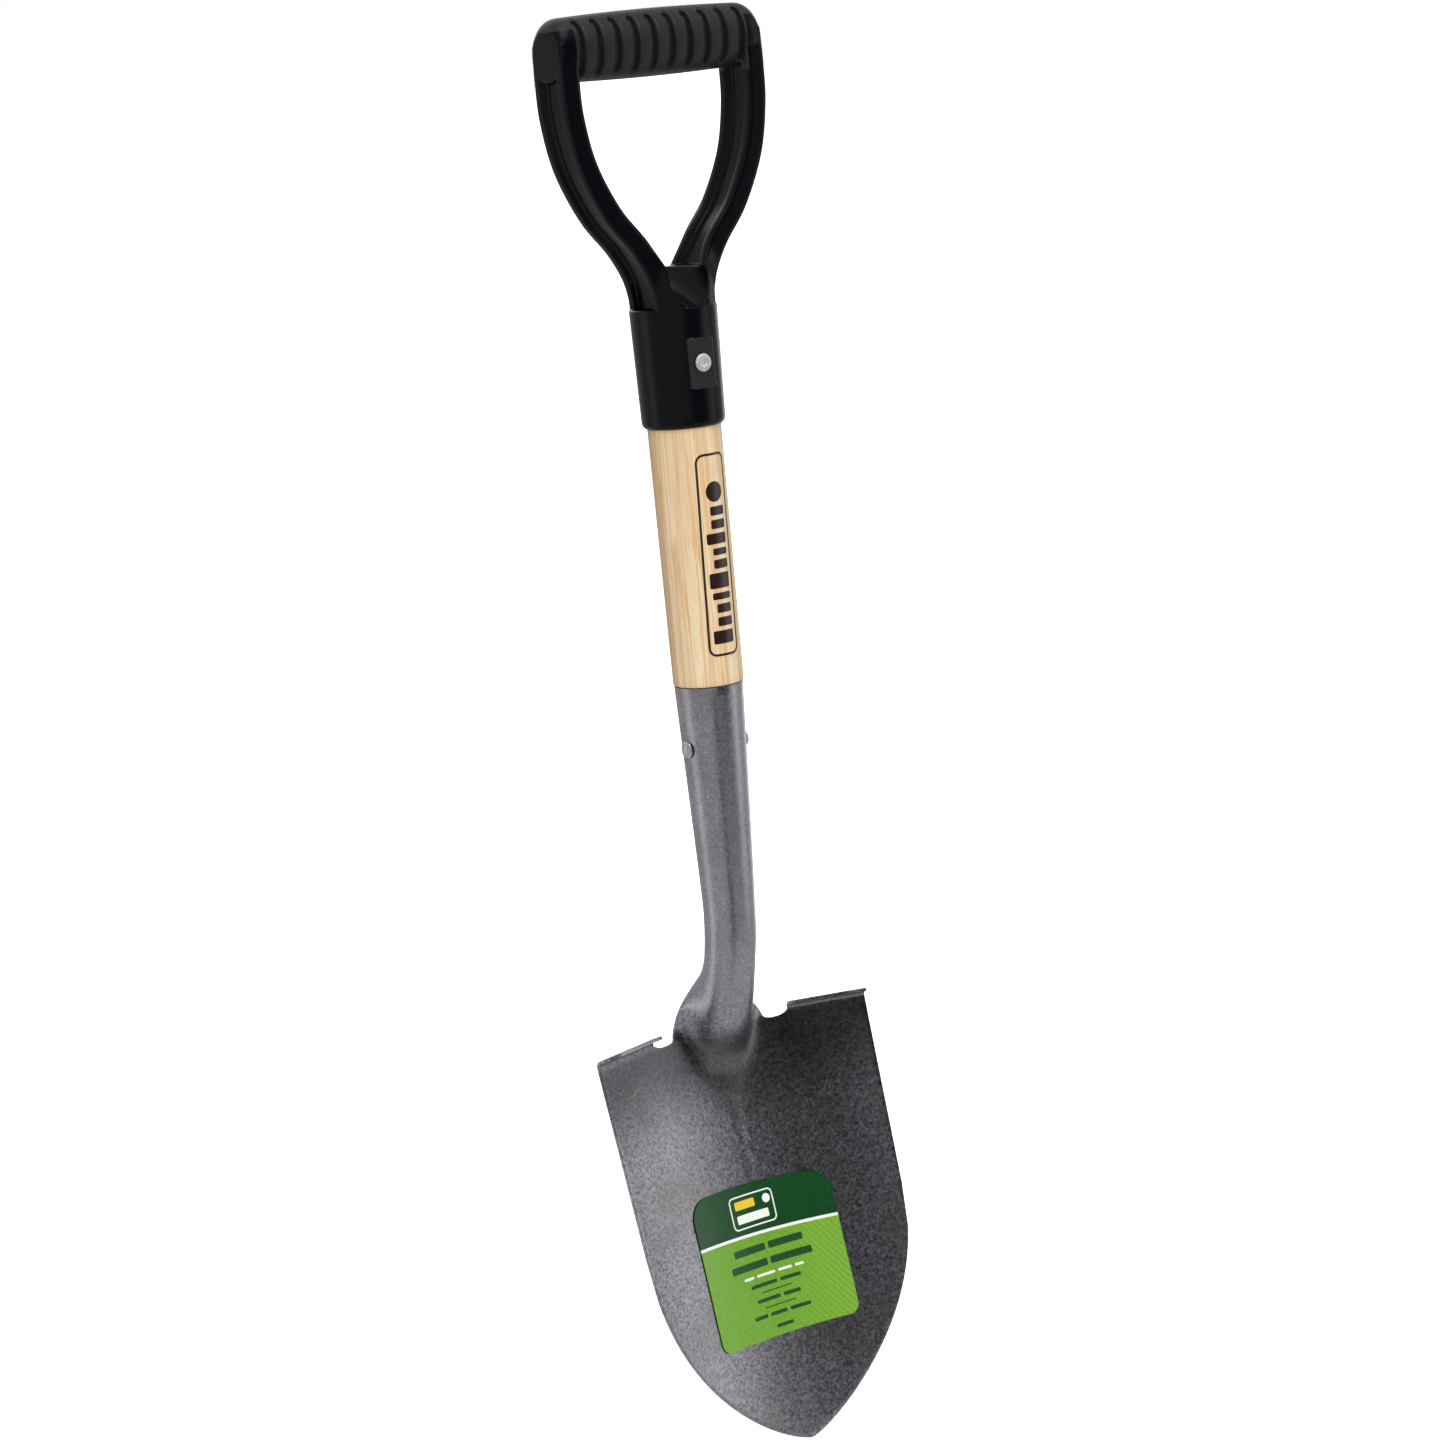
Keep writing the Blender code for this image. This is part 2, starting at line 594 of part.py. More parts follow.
# ---- rivets ---------------------------------------------------------------------------------------
def build_rivets(grip, handle, blade, root, zinc, steel):
    """Both rivets, the washer under the clenched end of the upper one, and the holes they pass."""
    upper = rod("upper_hole", RIVET_HOLE, 0.030, (0, 0, GRIP_RIVET_HEIGHT), root, "Y")
    lower = rod("lower_hole", RIVET_HOLE, 0.030, (0, 0, SOCKET_RIVET_HEIGHT), root, "X")
    boolean(grip, upper, "DIFFERENCE")
    boolean(handle, upper, "DIFFERENCE")
    boolean(handle, lower, "DIFFERENCE")
    boolean(blade, lower, "DIFFERENCE")

    seat = PAD_DEPTH + CLEARANCE
    washer_top = seat + WASHER_THICKNESS
    tail = washer_top + CLEARANCE
    profile = [(r, seat + h) for r, h in DOMED_HEAD] + [(RIVET_SHANK, seat), (RIVET_SHANK, -tail)]
    profile += [(r, -tail - h) for r, h in CLENCHED_TAIL]
    rivet = turned("grip_rivet", profile, root, zinc, segments=24, axis="Y")
    rivet.location = (0, 0, GRIP_RIVET_HEIGHT)

    ring = [(RIVET_HOLE, seat), (WASHER_RADIUS, seat), (WASHER_RADIUS, washer_top), (RIVET_HOLE, washer_top)]
    segments = 24
    verts = []
    for radius, y in ring:
        for k in range(segments):
            angle = 2 * math.pi * k / segments
            verts.append((radius * math.cos(angle), y, radius * math.sin(angle)))
    faces = ring_faces(len(ring), segments, cap_ends=False)
    faces += [(3 * segments + k, 3 * segments + (k + 1) % segments, (k + 1) % segments, k)
              for k in range(segments)]
    washer = make_object("grip_rivet_washer", verts, faces, root, zinc)
    washer.location = (0, 0, GRIP_RIVET_HEIGHT)

    outer = socket_inner_radius(SOCKET_RIVET_HEIGHT) + SHEET + CLEARANCE
    profile = [(r, -outer - h) for r, h in LOW_HEAD] + [(RIVET_SHANK, -outer), (RIVET_SHANK, outer)]
    profile += [(r, outer + h) for r, h in FULL_TAIL]
    cross = turned("socket_rivet", profile, root, steel, segments=24, axis="X")
    cross.location = (0, 0, SOCKET_RIVET_HEIGHT)


# ---- label and print ------------------------------------------------------------------------------
def build_label(root, material):
    """The label: a thin film that follows the front of the dish."""
    half = LABEL_HALF_WIDTH
    columns = np.linspace(-half, half, 17)
    rows = 10
    gap = SHEET / 2 + LABEL_GAP
    normal = Vector((0.0, -1.0, RAKE)).normalized()
    verts = []
    for lift in (gap, gap + LABEL_THICKNESS):
        for x in columns:
            low = LABEL_BOTTOM + corner_rise(half - abs(x), LABEL_LOW_CORNER)
            high = LABEL_TOP - LABEL_ARCH * (x / half) ** 2 - corner_rise(half - abs(x), LABEL_TOP_CORNER)
            for r in range(rows + 1):
                z = low + (high - low) * r / rows
                verts.append(Vector((x, dish(x, z), z)) + normal * lift)
    return make_object("blade_label", verts, slab_faces(len(columns), rows + 1), root, material)


def corner_rise(inset, radius):
    """Height lost to a rounded corner at a distance in from the side."""
    inset = min(inset, radius)
    return radius - math.sqrt(max(radius ** 2 - (radius - inset) ** 2, 0.0))


def slab_faces(columns, rows):
    """Faces of a closed slab made of two equal grids."""
    size = columns * rows
    faces = []
    for c in range(columns - 1):
        for r in range(rows - 1):
            a = c * rows + r
            quad = (a, a + 1, a + rows + 1, a + rows)
            faces.append(quad)
            faces.append(tuple(size + i for i in reversed(quad)))
    rim = [c * rows for c in range(columns)] + [(columns - 1) * rows + r for r in range(1, rows)]
    rim += [c * rows + rows - 1 for c in range(columns - 2, -1, -1)] + list(range(rows - 2, 0, -1))
    for a, b in zip(rim, rim[1:] + rim[:1]):
        faces.append((a, b, size + b, size + a))
    return faces


def build_print(root, material):
    """The printed panel: a thin film that follows the front of the handle."""
    columns, rows = 13, 3
    verts = []
    for lift in (CLEARANCE, CLEARANCE + PRINT_THICKNESS):
        for c in range(columns):
            angle = PRINT_HALF_ANGLE * (2 * c / (columns - 1) - 1)
            for r in range(rows):
                z = PRINT_BOTTOM + (PRINT_TOP - PRINT_BOTTOM) * r / (rows - 1)
                share = (z - SOCKET_TOP) / (FERRULE_BOTTOM - SOCKET_TOP)
                radius = WOOD_LOW_RADIUS + (WOOD_TOP_RADIUS - WOOD_LOW_RADIUS) * share + lift
                verts.append((radius * math.sin(angle), -radius * math.cos(angle), z))
    return make_object("handle_print", verts, slab_faces(columns, rows), root, material)


def main():
    """Build the shovel."""
    clear_scene()
    root = bpy.data.objects.new("shovel", None)
    root.location = (0.0, 0.0, -HANG_HEIGHT)
    bpy.context.scene.collection.objects.link(root)
    steel = make_material("mill_steel", (0.23, 0.23, 0.235), 0.42, 0.9)
    zinc = make_material("zinc_plate", (0.75, 0.76, 0.78), 0.35, 1.0)
    ash = make_material("lacquered_ash", (0.80, 0.60, 0.36), 0.35)
    poly = make_material("black_polypropylene", (0.012, 0.012, 0.014), 0.35)
    film = make_material("label_film", (0.22, 0.52, 0.06), 0.3)
    ink = make_material("print_ink", (0.03, 0.02, 0.015), 0.4)
    blade = build_blade(root, steel)
    handle = build_handle(root, ash)
    grip = build_grip(root, poly)
    build_rivets(grip, handle, blade, root, zinc, steel)
    build_label(root, film)
    build_print(root, ink)
    bpy.context.view_layer.update()


main()
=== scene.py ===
"""Looks of the round point shovel: fine meshes, finishes, floor, light and camera."""

import logging
import math
from dataclasses import dataclass
from enum import Enum
from typing import Any, Callable, Iterable, Optional, Sequence, Union

import bmesh
import bpy
import numpy as np
from mathutils import Matrix, Vector


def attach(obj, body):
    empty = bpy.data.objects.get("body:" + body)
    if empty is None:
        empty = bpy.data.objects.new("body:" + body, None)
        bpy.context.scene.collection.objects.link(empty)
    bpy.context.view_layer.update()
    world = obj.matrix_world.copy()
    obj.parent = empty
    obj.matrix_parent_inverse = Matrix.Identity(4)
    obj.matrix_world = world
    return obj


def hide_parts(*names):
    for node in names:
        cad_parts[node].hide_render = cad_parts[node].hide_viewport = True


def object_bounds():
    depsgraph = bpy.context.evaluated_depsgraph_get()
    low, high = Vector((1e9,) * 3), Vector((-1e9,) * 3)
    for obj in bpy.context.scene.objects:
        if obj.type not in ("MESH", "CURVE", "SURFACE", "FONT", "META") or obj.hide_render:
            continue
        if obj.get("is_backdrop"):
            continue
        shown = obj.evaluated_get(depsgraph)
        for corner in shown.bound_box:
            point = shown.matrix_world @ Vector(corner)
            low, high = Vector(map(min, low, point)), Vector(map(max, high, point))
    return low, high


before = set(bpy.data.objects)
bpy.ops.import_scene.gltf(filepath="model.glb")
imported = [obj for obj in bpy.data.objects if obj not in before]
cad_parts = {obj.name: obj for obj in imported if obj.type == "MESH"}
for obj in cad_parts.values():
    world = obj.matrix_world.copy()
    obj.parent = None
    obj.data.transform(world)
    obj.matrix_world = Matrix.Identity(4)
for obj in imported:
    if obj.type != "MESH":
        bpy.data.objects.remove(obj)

LOG = logging.getLogger("shovel")
HANG_HEIGHT = 0.6561        # the frame's origin above the blade's tip
SHEET = 0.0017              # thickness of the blade's steel
MILLIMETRE = 0.001

FINE_LINE = 400             # points that a smooth line is drawn with before it is spaced evenly

Piece, Mesh = bpy.types.Object, bpy.types.Mesh
Tree, Node, Socket = bpy.types.NodeTree, bpy.types.Node, bpy.types.NodeSocket
Pair = tuple[float, float]
Point = tuple[float, float, float]
Face = tuple[int, ...]
Surface = Callable[[float, float, float], Vector]


# ---- small helpers ------------------------------------------------------------------------------
def linear(colour: str) -> tuple[float, ...]:
    """Turn an sRGB hex colour to linear light.

    Args:
        colour: the colour as "#RRGGBB".

    Returns:
        Linear red, green, blue and an alpha of 1.
    """
    parts = [int(colour[i:i + 2], 16) / 255 for i in (1, 3, 5)]
    red, green, blue = [c / 12.92 if c <= 0.04045 else ((c + 0.055) / 1.055) ** 2.4 for c in parts]
    return red, green, blue, 1.0


def smooth(value: float) -> float:
    """Ease a value from 0 to 1."""
    value = min(max(value, 0.0), 1.0)
    return value * value * (3.0 - 2.0 * value)


def soft_positive(value: float, blend: float) -> float:
    """Return value where it is positive and 0 where it is negative, with a rounded corner."""
    return 0.5 * (value + math.sqrt(value * value + blend * blend))


def per_metre(millimetres: float) -> float:
    """Return the texture scale that gives a pattern of this size."""
    return 1.0 / (millimetres * MILLIMETRE)


def fill_node(tree: Tree, node: Node, settings: dict[Any, Any],
              links: dict[Any, Union[Node, Socket]]) -> Node:
    """Set one node's values and link what feeds it.

    Args:
        tree: the node tree that holds the node.
        node: the node.
        settings: values for its own properties, its sockets, or "ramp" for its colour stops.
        links: what feeds each named or numbered input, a socket or a node's first output in use.

    Returns:
        The same node.
    """
    for name, value in settings.items():
        if name == "ramp":
            stops = node.color_ramp.elements
            while len(stops) < len(value):
                stops.new(1.0)
            for stop, (place, colour) in zip(stops, value):
                stop.position = place
                stop.color = linear(colour)
        elif isinstance(name, str) and hasattr(node, name):
            setattr(node, name, value)
        else:
            node.inputs[name].default_value = value
    for name, source in links.items():
        if isinstance(source, Node):
            source = next(socket for socket in source.outputs if socket.enabled)
        tree.links.new(source, node.inputs[name])
    return node


def add_node(tree: Tree, kind: str, settings: Optional[dict[Any, Any]] = None,
             links: Optional[dict[Any, Union[Node, Socket]]] = None) -> Node:
    """Add one node of a kind such as "ShaderNodeTexNoise", with its settings and links."""
    return fill_node(tree, tree.nodes.new(kind), settings or {}, links or {})


# ---- finishes -----------------------------------------------------------------------------------
@dataclass(frozen=True)
class Finish:
    """A finish that makes one Principled material."""

    name: str

    def material(self) -> bpy.types.Material:
        """Make the material the first time that it is asked for.

        Returns:
            The finish's material.
        """
        material = bpy.data.materials.get(self.name)
        if material is None:
            material = bpy.data.materials.new(self.name)
            material.use_nodes = True
            tree = material.node_tree
            where = add_node(tree, "ShaderNodeTexCoord")
            self.dress(tree, tree.nodes["Principled BSDF"], where.outputs["Object"])
        return material

    def dress(self, tree: Tree, shader: Node, where: Socket) -> None:
        """Set the shader's values and build the pattern that feeds it.

        Args:
            tree: the material's node tree.
            shader: its Principled shader.
            where: object coordinates in metres.
        """
        raise NotImplementedError


@dataclass(frozen=True)
class LacqueredSteel(Finish):
    """Hot rolled spring steel, tumbled and dipped in clear lacquer.

    It gives the eye a dark, satin, mottled grey with fine bright specks and hairline scratches.
    """

    name: str = "spring_steel_tumbled_lacquered"
    dark: str = "#7E7E85"
    pale: str = "#CCCCD3"
    drawn: str = "#B2B2B9"          # the socket and neck, smoothed where the press drew them
    warm: str = "#8F857C"
    speck: str = "#E2E1E5"
    painted_step_shade: str = "#4E4D4E"          # painted shade just below the foot steps' forward-turned lips
    mottle_size: float = 1.5        # mm
    cloud_size: float = 32.0
    speck_size: float = 0.95        # real specks are finer; these are as fine as shows
    scratch_width: float = 0.55     # real ones are finer too
    scratch_length: float = 16.0
    painted_step_shade_low: float = 0.146        # heights between which the painted shade thickens
    painted_step_shade_high: float = 0.192
    painted_step_shade_end: Pair = (0.196, 0.204)    # and between which it stops
    drawn_low: float = 0.196        # heights between which the drawn metal takes over
    drawn_high: float = 0.225
    scratch_turns: tuple[float, ...] = (20.0, 65.0, -38.0)     # degrees in the blade's face

    def dress(self, tree: Tree, shader: Node, where: Socket) -> None:
        """Mottle, specks, scratches and warm clouds over a satin metal, with painted shade darkening the
        sheet just below the foot steps.

        Args:
            tree: the material's node tree.
            shader: its Principled shader.
            where: object coordinates in metres.
        """
        mottle = add_node(tree, "ShaderNodeTexNoise", {
            "Scale": per_metre(self.mottle_size), "Detail": 3.0, "Roughness": 0.65}, {"Vector": where})
        cloud = add_node(tree, "ShaderNodeTexNoise", {
            "Scale": per_metre(self.cloud_size), "Detail": 2.0, "Roughness": 0.5}, {"Vector": where})
        specks = add_node(tree, "ShaderNodeTexNoise", {
            "Scale": per_metre(self.speck_size), "Detail": 1.0}, {"Vector": where})
        base = add_node(tree, "ShaderNodeValToRGB", {
            "ramp": [(0.36, self.dark), (0.66, self.pale)]}, {"Fac": mottle})
        place = add_node(tree, "ShaderNodeSeparateXYZ", {}, {0: where})
        drawn_share = add_node(tree, "ShaderNodeMapRange", {
            "From Min": self.drawn_low - HANG_HEIGHT, "From Max": self.drawn_high - HANG_HEIGHT,
            "To Max": 0.58}, {"Value": place.outputs["Z"]})
        drawn = add_node(tree, "ShaderNodeMix", {"data_type": "RGBA", 7: linear(self.drawn)}, {
            0: drawn_share, 6: base})
        warm_share = add_node(tree, "ShaderNodeMapRange", {
            "From Min": 0.48, "From Max": 0.70, "To Max": 0.45}, {"Value": cloud})
        warmed = add_node(tree, "ShaderNodeMix", {"data_type": "RGBA", 7: linear(self.warm)}, {
            0: warm_share, 6: drawn})
        speck_share = add_node(tree, "ShaderNodeMapRange", {
            "From Min": 0.64, "From Max": 0.74, "To Max": 0.8}, {"Value": specks})
        colour = add_node(tree, "ShaderNodeMix", {"data_type": "RGBA", 7: linear(self.speck)}, {
            0: speck_share, 6: warmed})
        # painted shade: the sheet darkens with height towards the foot steps' lips, then stops at the
        # blade's top edge
        top = add_node(tree, "ShaderNodeMapRange", {
            "From Min": self.painted_step_shade_low - HANG_HEIGHT, "From Max": self.painted_step_shade_high - HANG_HEIGHT,
            "To Max": 0.75, "interpolation_type": "SMOOTHSTEP"}, {"Value": place.outputs["Z"]})
        end = add_node(tree, "ShaderNodeMapRange", {
            "From Min": self.painted_step_shade_end[0] - HANG_HEIGHT, "From Max": self.painted_step_shade_end[1] - HANG_HEIGHT,
            "To Min": 1.0, "To Max": 0.0}, {"Value": place.outputs["Z"]})
        both = add_node(tree, "ShaderNodeMath", {"operation": "MULTIPLY"}, {
            0: top, 1: end})
        colour = add_node(tree, "ShaderNodeMix", {"data_type": "RGBA", 7: linear(self.painted_step_shade)}, {
            0: both, 6: colour})
        for turn in self.scratch_turns:
            lines = self.scratches(tree, where, turn)
            colour = add_node(tree, "ShaderNodeMix", {"data_type": "RGBA", 7: linear(self.speck)}, {
                0: lines, 6: colour})
        rough = add_node(tree, "ShaderNodeMapRange", {
            "From Min": 0.36, "From Max": 0.68, "To Min": 0.29, "To Max": 0.41}, {
            "Value": mottle})
        bump = add_node(tree, "ShaderNodeBump", {"Strength": 0.25, "Distance": 0.00008}, {
            "Height": mottle})
        fill_node(tree, shader, {"Metallic": 1.0, "Coat Weight": 0.12, "Coat Roughness": 0.30}, {
            "Base Color": colour, "Roughness": rough, "Normal": bump})

    def scratches(self, tree: Tree, where: Socket, turn: float) -> Node:
        """Lay one family of parallel hairlines across the sheet.

        Args:
            tree: the material's node tree.
            where: object coordinates in metres.
            turn: direction of the hairlines in the blade's face, in degrees.

        Returns:
            The node that gives the share of bright metal that shows.
        """
        across, along = per_metre(self.scratch_width), per_metre(self.scratch_length)
        turned = add_node(tree, "ShaderNodeMapping", {"Rotation": (0.0, math.radians(turn), 0.0)}, {
            "Vector": where})
        stretched = add_node(tree, "ShaderNodeMapping", {"Scale": (along, along, across)}, {
            "Vector": turned})
        lines = add_node(tree, "ShaderNodeTexNoise", {"Scale": 1.0, "Detail": 0.0}, {
            "Vector": stretched})
        share = add_node(tree, "ShaderNodeMapRange", {
            "From Min": 0.74, "From Max": 0.84, "To Max": 0.22}, {"Value": lines})
        return share


@dataclass(frozen=True)
class TurnedAsh(Finish):
    """Ash turned along the grain under clear lacquer.

    It gives the eye pale honey wood with long soft bands, fine pore streaks and a wet gloss.
    """

    name: str = "ash_turned_lacquered"
    pale: str = "#EFD9B4"
    honey: str = "#DDB684"
    dark: str = "#C4935C"
    band_width: float = 3.6         # mm across the grain
    band_length: float = 150.0
    pore_width: float = 0.8         # real pores are finer
    pore_length: float = 14.0

    def dress(self, tree: Tree, shader: Node, where: Socket) -> None:
        """Growth bands, pore streaks and a few darker strokes.

        Args:
            tree: the material's node tree.
            shader: its Principled shader.
            where: object coordinates in metres.
        """
        bands = self.streaks(tree, where, self.band_width, self.band_length, 2.0)
        broad = self.streaks(tree, where, 4 * self.band_width, 3 * self.band_length, 0.0)
        pores = self.streaks(tree, where, self.pore_width, self.pore_length, 1.0)
        base = add_node(tree, "ShaderNodeValToRGB", {
            "ramp": [(0.36, self.pale), (0.52, self.honey), (0.56, self.pale), (0.74, self.honey)]}, {
            "Fac": bands})
        broad_share = add_node(tree, "ShaderNodeMapRange", {
            "From Min": 0.50, "From Max": 0.72, "To Max": 0.50}, {"Value": broad})
        tinted = add_node(tree, "ShaderNodeMix", {"data_type": "RGBA", 7: linear(self.dark)}, {
            0: broad_share, 6: base})
        pore_share = add_node(tree, "ShaderNodeMapRange", {
            "From Min": 0.56, "From Max": 0.76, "To Max": 0.40}, {"Value": pores})
        colour = add_node(tree, "ShaderNodeMix", {"data_type": "RGBA", 7: linear(self.dark)}, {
            0: pore_share, 6: tinted})
        bump = add_node(tree, "ShaderNodeBump", {"Strength": 0.15, "Distance": 0.0001}, {"Height": pores})
        fill_node(tree, shader, {
            "Roughness": 0.5, "IOR": 1.5, "Specular IOR Level": 0.2, "Coat Weight": 0.08,
            "Coat Roughness": 0.25}, {"Base Color": colour, "Normal": bump})

    def streaks(self, tree: Tree, where: Socket, width: float, length: float, detail: float) -> Node:
        """Noise that runs along the handle.

        Args:
            tree: the material's node tree.
            where: object coordinates in metres.
            width: size across the grain in millimetres.
            length: size along the grain in millimetres.
            detail: the noise's finer layers.

        Returns:
            The noise.
        """
        across, along = per_metre(width), per_metre(length)
        stretched = add_node(tree, "ShaderNodeMapping", {"Scale": (across, across, along)}, {
            "Vector": where})
        noise = add_node(tree, "ShaderNodeTexNoise", {
            "Scale": 1.0, "Detail": detail, "Distortion": 0.35}, {"Vector": stretched})
        return noise


class MouldSurface(Enum):
    """How the mould's steel was finished where it shaped the plastic."""

    POLISHED = "polished"
    SPARK_ERODED = "spark_eroded"


@dataclass(frozen=True)
class MouldedPolypropylene(Finish):
    """Black polypropylene from a mould that is polished or spark eroded.

    Polished, it gives the eye deep black with soft bluish lights; eroded, a dry black grain.
    """

    name: str = "polypropylene_moulded"
    surface: MouldSurface = MouldSurface.POLISHED
    colour: str = "#08090D"
    shine: float = 0.18
    polish: float = 0.24            # roughness where the mould is polished
    grain_size: float = 0.9         # mm, coarser than the real grain so that it shows

    def dress(self, tree: Tree, shader: Node, where: Socket) -> None:
        """Even gloss where the mould is polished, and fine grain where it is eroded.

        Args:
            tree: the material's node tree.
            shader: its Principled shader.
            where: object coordinates in metres.
        """
        fill_node(tree, shader, {
            "Base Color": linear(self.colour), "IOR": 1.49, "Specular IOR Level": self.shine,
            "Roughness": self.polish}, {})
        if self.surface is MouldSurface.POLISHED:
            return
        grain = add_node(tree, "ShaderNodeTexNoise", {
            "Scale": per_metre(self.grain_size), "Detail": 2.0}, {"Vector": where})
        rough = add_node(tree, "ShaderNodeMapRange", {
            "From Min": 0.35, "From Max": 0.65, "To Min": 0.45, "To Max": 0.62}, {
            "Value": grain})
        bump = add_node(tree, "ShaderNodeBump", {"Strength": 0.7, "Distance": 0.00022}, {
            "Height": grain})
        fill_node(tree, shader, {}, {"Roughness": rough, "Normal": bump})


@dataclass(frozen=True)
class PlatedMetal(Finish):
    """Formed metal with a thin plating, or bare.

    It gives the eye a bright or a dull grey button with faint forming marks.
    """

    name: str = "steel_zinc_plated"
    pale: str = "#F4F5F6"
    dark: str = "#D4D7DA"
    roughness: float = 0.34
    bare: float = 0.75              # the rest is the dull white bloom of zinc
    mark_size: float = 1.1          # mm

    def dress(self, tree: Tree, shader: Node, where: Socket) -> None:
        """Blotches from plating and forming.

        Args:
            tree: the material's node tree.
            shader: its Principled shader.
            where: object coordinates in metres.
        """
        marks = add_node(tree, "ShaderNodeTexNoise", {
            "Scale": per_metre(self.mark_size), "Detail": 3.0}, {"Vector": where})
        colour = add_node(tree, "ShaderNodeValToRGB", {
            "ramp": [(0.35, self.dark), (0.65, self.pale)]}, {"Fac": marks})
        bump = add_node(tree, "ShaderNodeBump", {"Strength": 0.3, "Distance": 0.0001}, {
            "Height": marks})
        fill_node(tree, shader, {"Metallic": self.bare, "Roughness": self.roughness}, {
            "Base Color": colour, "Normal": bump})


@dataclass(frozen=True)
class PrintedFilm(Finish):
    """Ink printed on label film under a clear gloss layer.

    It gives the eye one even colour with a faint woven fleck and a smooth gloss.
    """

    name: str = "label_film_printed"
    colour: str = "#7FB53A"
    fleck: str = "#8DBF3C"
    fleck_size: float = 1.3         # mm
    roughness: float = 0.34
    hatch: Optional[str] = None     # colour of the slanted hatch towards the lower right
    hatch_size: float = 2.4
    hatch_turn: float = math.radians(38)
    hatch_fades_in: Pair = (-0.002, 0.030)      # across the label, from none to full

    def dress(self, tree: Tree, shader: Node, where: Socket) -> None:
        """A fine fleck between two close shades.

        Args:
            tree: the material's node tree.
            shader: its Principled shader.
            where: object coordinates in metres.
        """
        fleck = add_node(tree, "ShaderNodeTexNoise", {
            "Scale": per_metre(self.fleck_size), "Detail": 1.0}, {"Vector": where})
        shown = add_node(tree, "ShaderNodeValToRGB", {
            "ramp": [(0.40, self.colour), (0.60, self.fleck)]}, {"Fac": fleck})
        if self.hatch:
            slant = add_node(tree, "ShaderNodeMapping", {"Rotation": (0.0, self.hatch_turn, 0.0)}, {
                "Vector": where})
            lines = add_node(tree, "ShaderNodeTexWave", {
                "Scale": per_metre(self.hatch_size) / 3.2, "Distortion": 0.0, "bands_direction": "X"}, {
                "Vector": slant})
            place = add_node(tree, "ShaderNodeSeparateXYZ", {}, {0: where})
            aside = add_node(tree, "ShaderNodeMapRange", {
                "From Min": self.hatch_fades_in[0], "From Max": self.hatch_fades_in[1],
                "To Max": 0.42}, {"Value": place.outputs["X"]})
            share = add_node(tree, "ShaderNodeMath", {"operation": "MULTIPLY"}, {
                0: lines.outputs["Fac"], 1: aside})
            shown = add_node(tree, "ShaderNodeMix", {"data_type": "RGBA", 7: linear(self.hatch)}, {
                0: share, 6: shown})
        fill_node(tree, shader, {"Roughness": self.roughness, "Coat Weight": 0.3, "Coat Roughness": 0.12}, {
            "Base Color": shown})


STEEL = LacqueredSteel()
ASH = TurnedAsh()
GLOSSY_BLACK = MouldedPolypropylene(name="polypropylene_moulded_polished")
GRAINED_BLACK = MouldedPolypropylene(name="polypropylene_moulded_eroded", surface=MouldSurface.SPARK_ERODED,
                                    colour="#19191C", shine=0.6)
ZINC = PlatedMetal(roughness=0.5)
BARE_RIVET = PlatedMetal(name="steel_cold_headed", pale="#DADADC", dark="#A8A8AC", roughness=0.42, bare=0.9)
FIELD_GREEN = PrintedFilm(name="label_film_field_green", colour="#6A9E2A", fleck="#73A82F", hatch="#93C250")
HEADER_GREEN = PrintedFilm(name="label_film_header_green", colour="#0B4119", fleck="#0E491F")
LABEL_WHITE = PrintedFilm(name="label_film_white", colour="#F1F4EC", fleck="#F7F8F2")
LABEL_YELLOW = PrintedFilm(name="label_film_yellow", colour="#EBC62A", fleck="#EFCB2E")
LABEL_DARK = PrintedFilm(name="label_film_dark_green", colour="#1D4A22", fleck="#205026")
INK = PrintedFilm(name="screen_ink_dark_brown", colour="#23140E", fleck="#2B1912")


# ---- mesh helpers -------------------------------------------------------------------------------
def make_piece(name: str, points: Iterable[Sequence[float]], faces: Sequence[Face],
               finishes: Sequence[Finish] = (), sharp: float = 40.0) -> Piece:
    """Make a mesh piece from points measured up from the blade's tip.

    Args:
        name: the piece's name.
        points: its points in metres.
        faces: its faces as indices into the points.
        finishes: one finish for each material slot.
        sharp: edges that turn by more than this many degrees stay crisp.

    Returns:
        The new object, with faces turned outwards.
    """
    mesh = bpy.data.meshes.new(name)
    mesh.from_pydata([(p[0], p[1], p[2] - HANG_HEIGHT) for p in points], [], faces)
    work = bmesh.new()
    work.from_mesh(mesh)
    bmesh.ops.recalc_face_normals(work, faces=work.faces)
    work.to_mesh(mesh)
    work.free()
    mesh.shade_smooth()
    mesh.set_sharp_from_angle(angle=math.radians(sharp))
    for finish in finishes:
        mesh.materials.append(finish.material())
    piece = bpy.data.objects.new(name, mesh)
    bpy.context.scene.collection.objects.link(piece)
    return piece


def settle(piece: Piece, sharp: float = 40.0) -> None:
    """Turn a piece's modifiers into its mesh.

    Args:
        piece: the piece that carries the modifiers.
        sharp: edges that turn by more than this many degrees stay crisp.
    """
    bpy.context.view_layer.update()
    graph = bpy.context.evaluated_depsgraph_get()
    mesh = bpy.data.meshes.new_from_object(piece.evaluated_get(graph))
    piece.modifiers.clear()
    piece.data = mesh
    mesh.shade_smooth()
    mesh.set_sharp_from_angle(angle=math.radians(sharp))


def declare(piece: Piece, node: str) -> Piece:
    """Tell the frame what a piece rides on and which CAD node it stands for, and hide that node.

    Args:
        piece: the piece.
        node: the CAD node's name.

    Returns:
        The same piece.
    """
    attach(piece, "root")
    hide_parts(node)
    LOG.info("%s: %d faces, stands for %s", piece.name, len(piece.data.polygons), node)
    return piece


class RingEnds(Enum):
    """What happens to the first and last of a row of rings."""

    CAPPED = "capped"
    OPEN = "open"
    JOINED = "joined"       # to each other


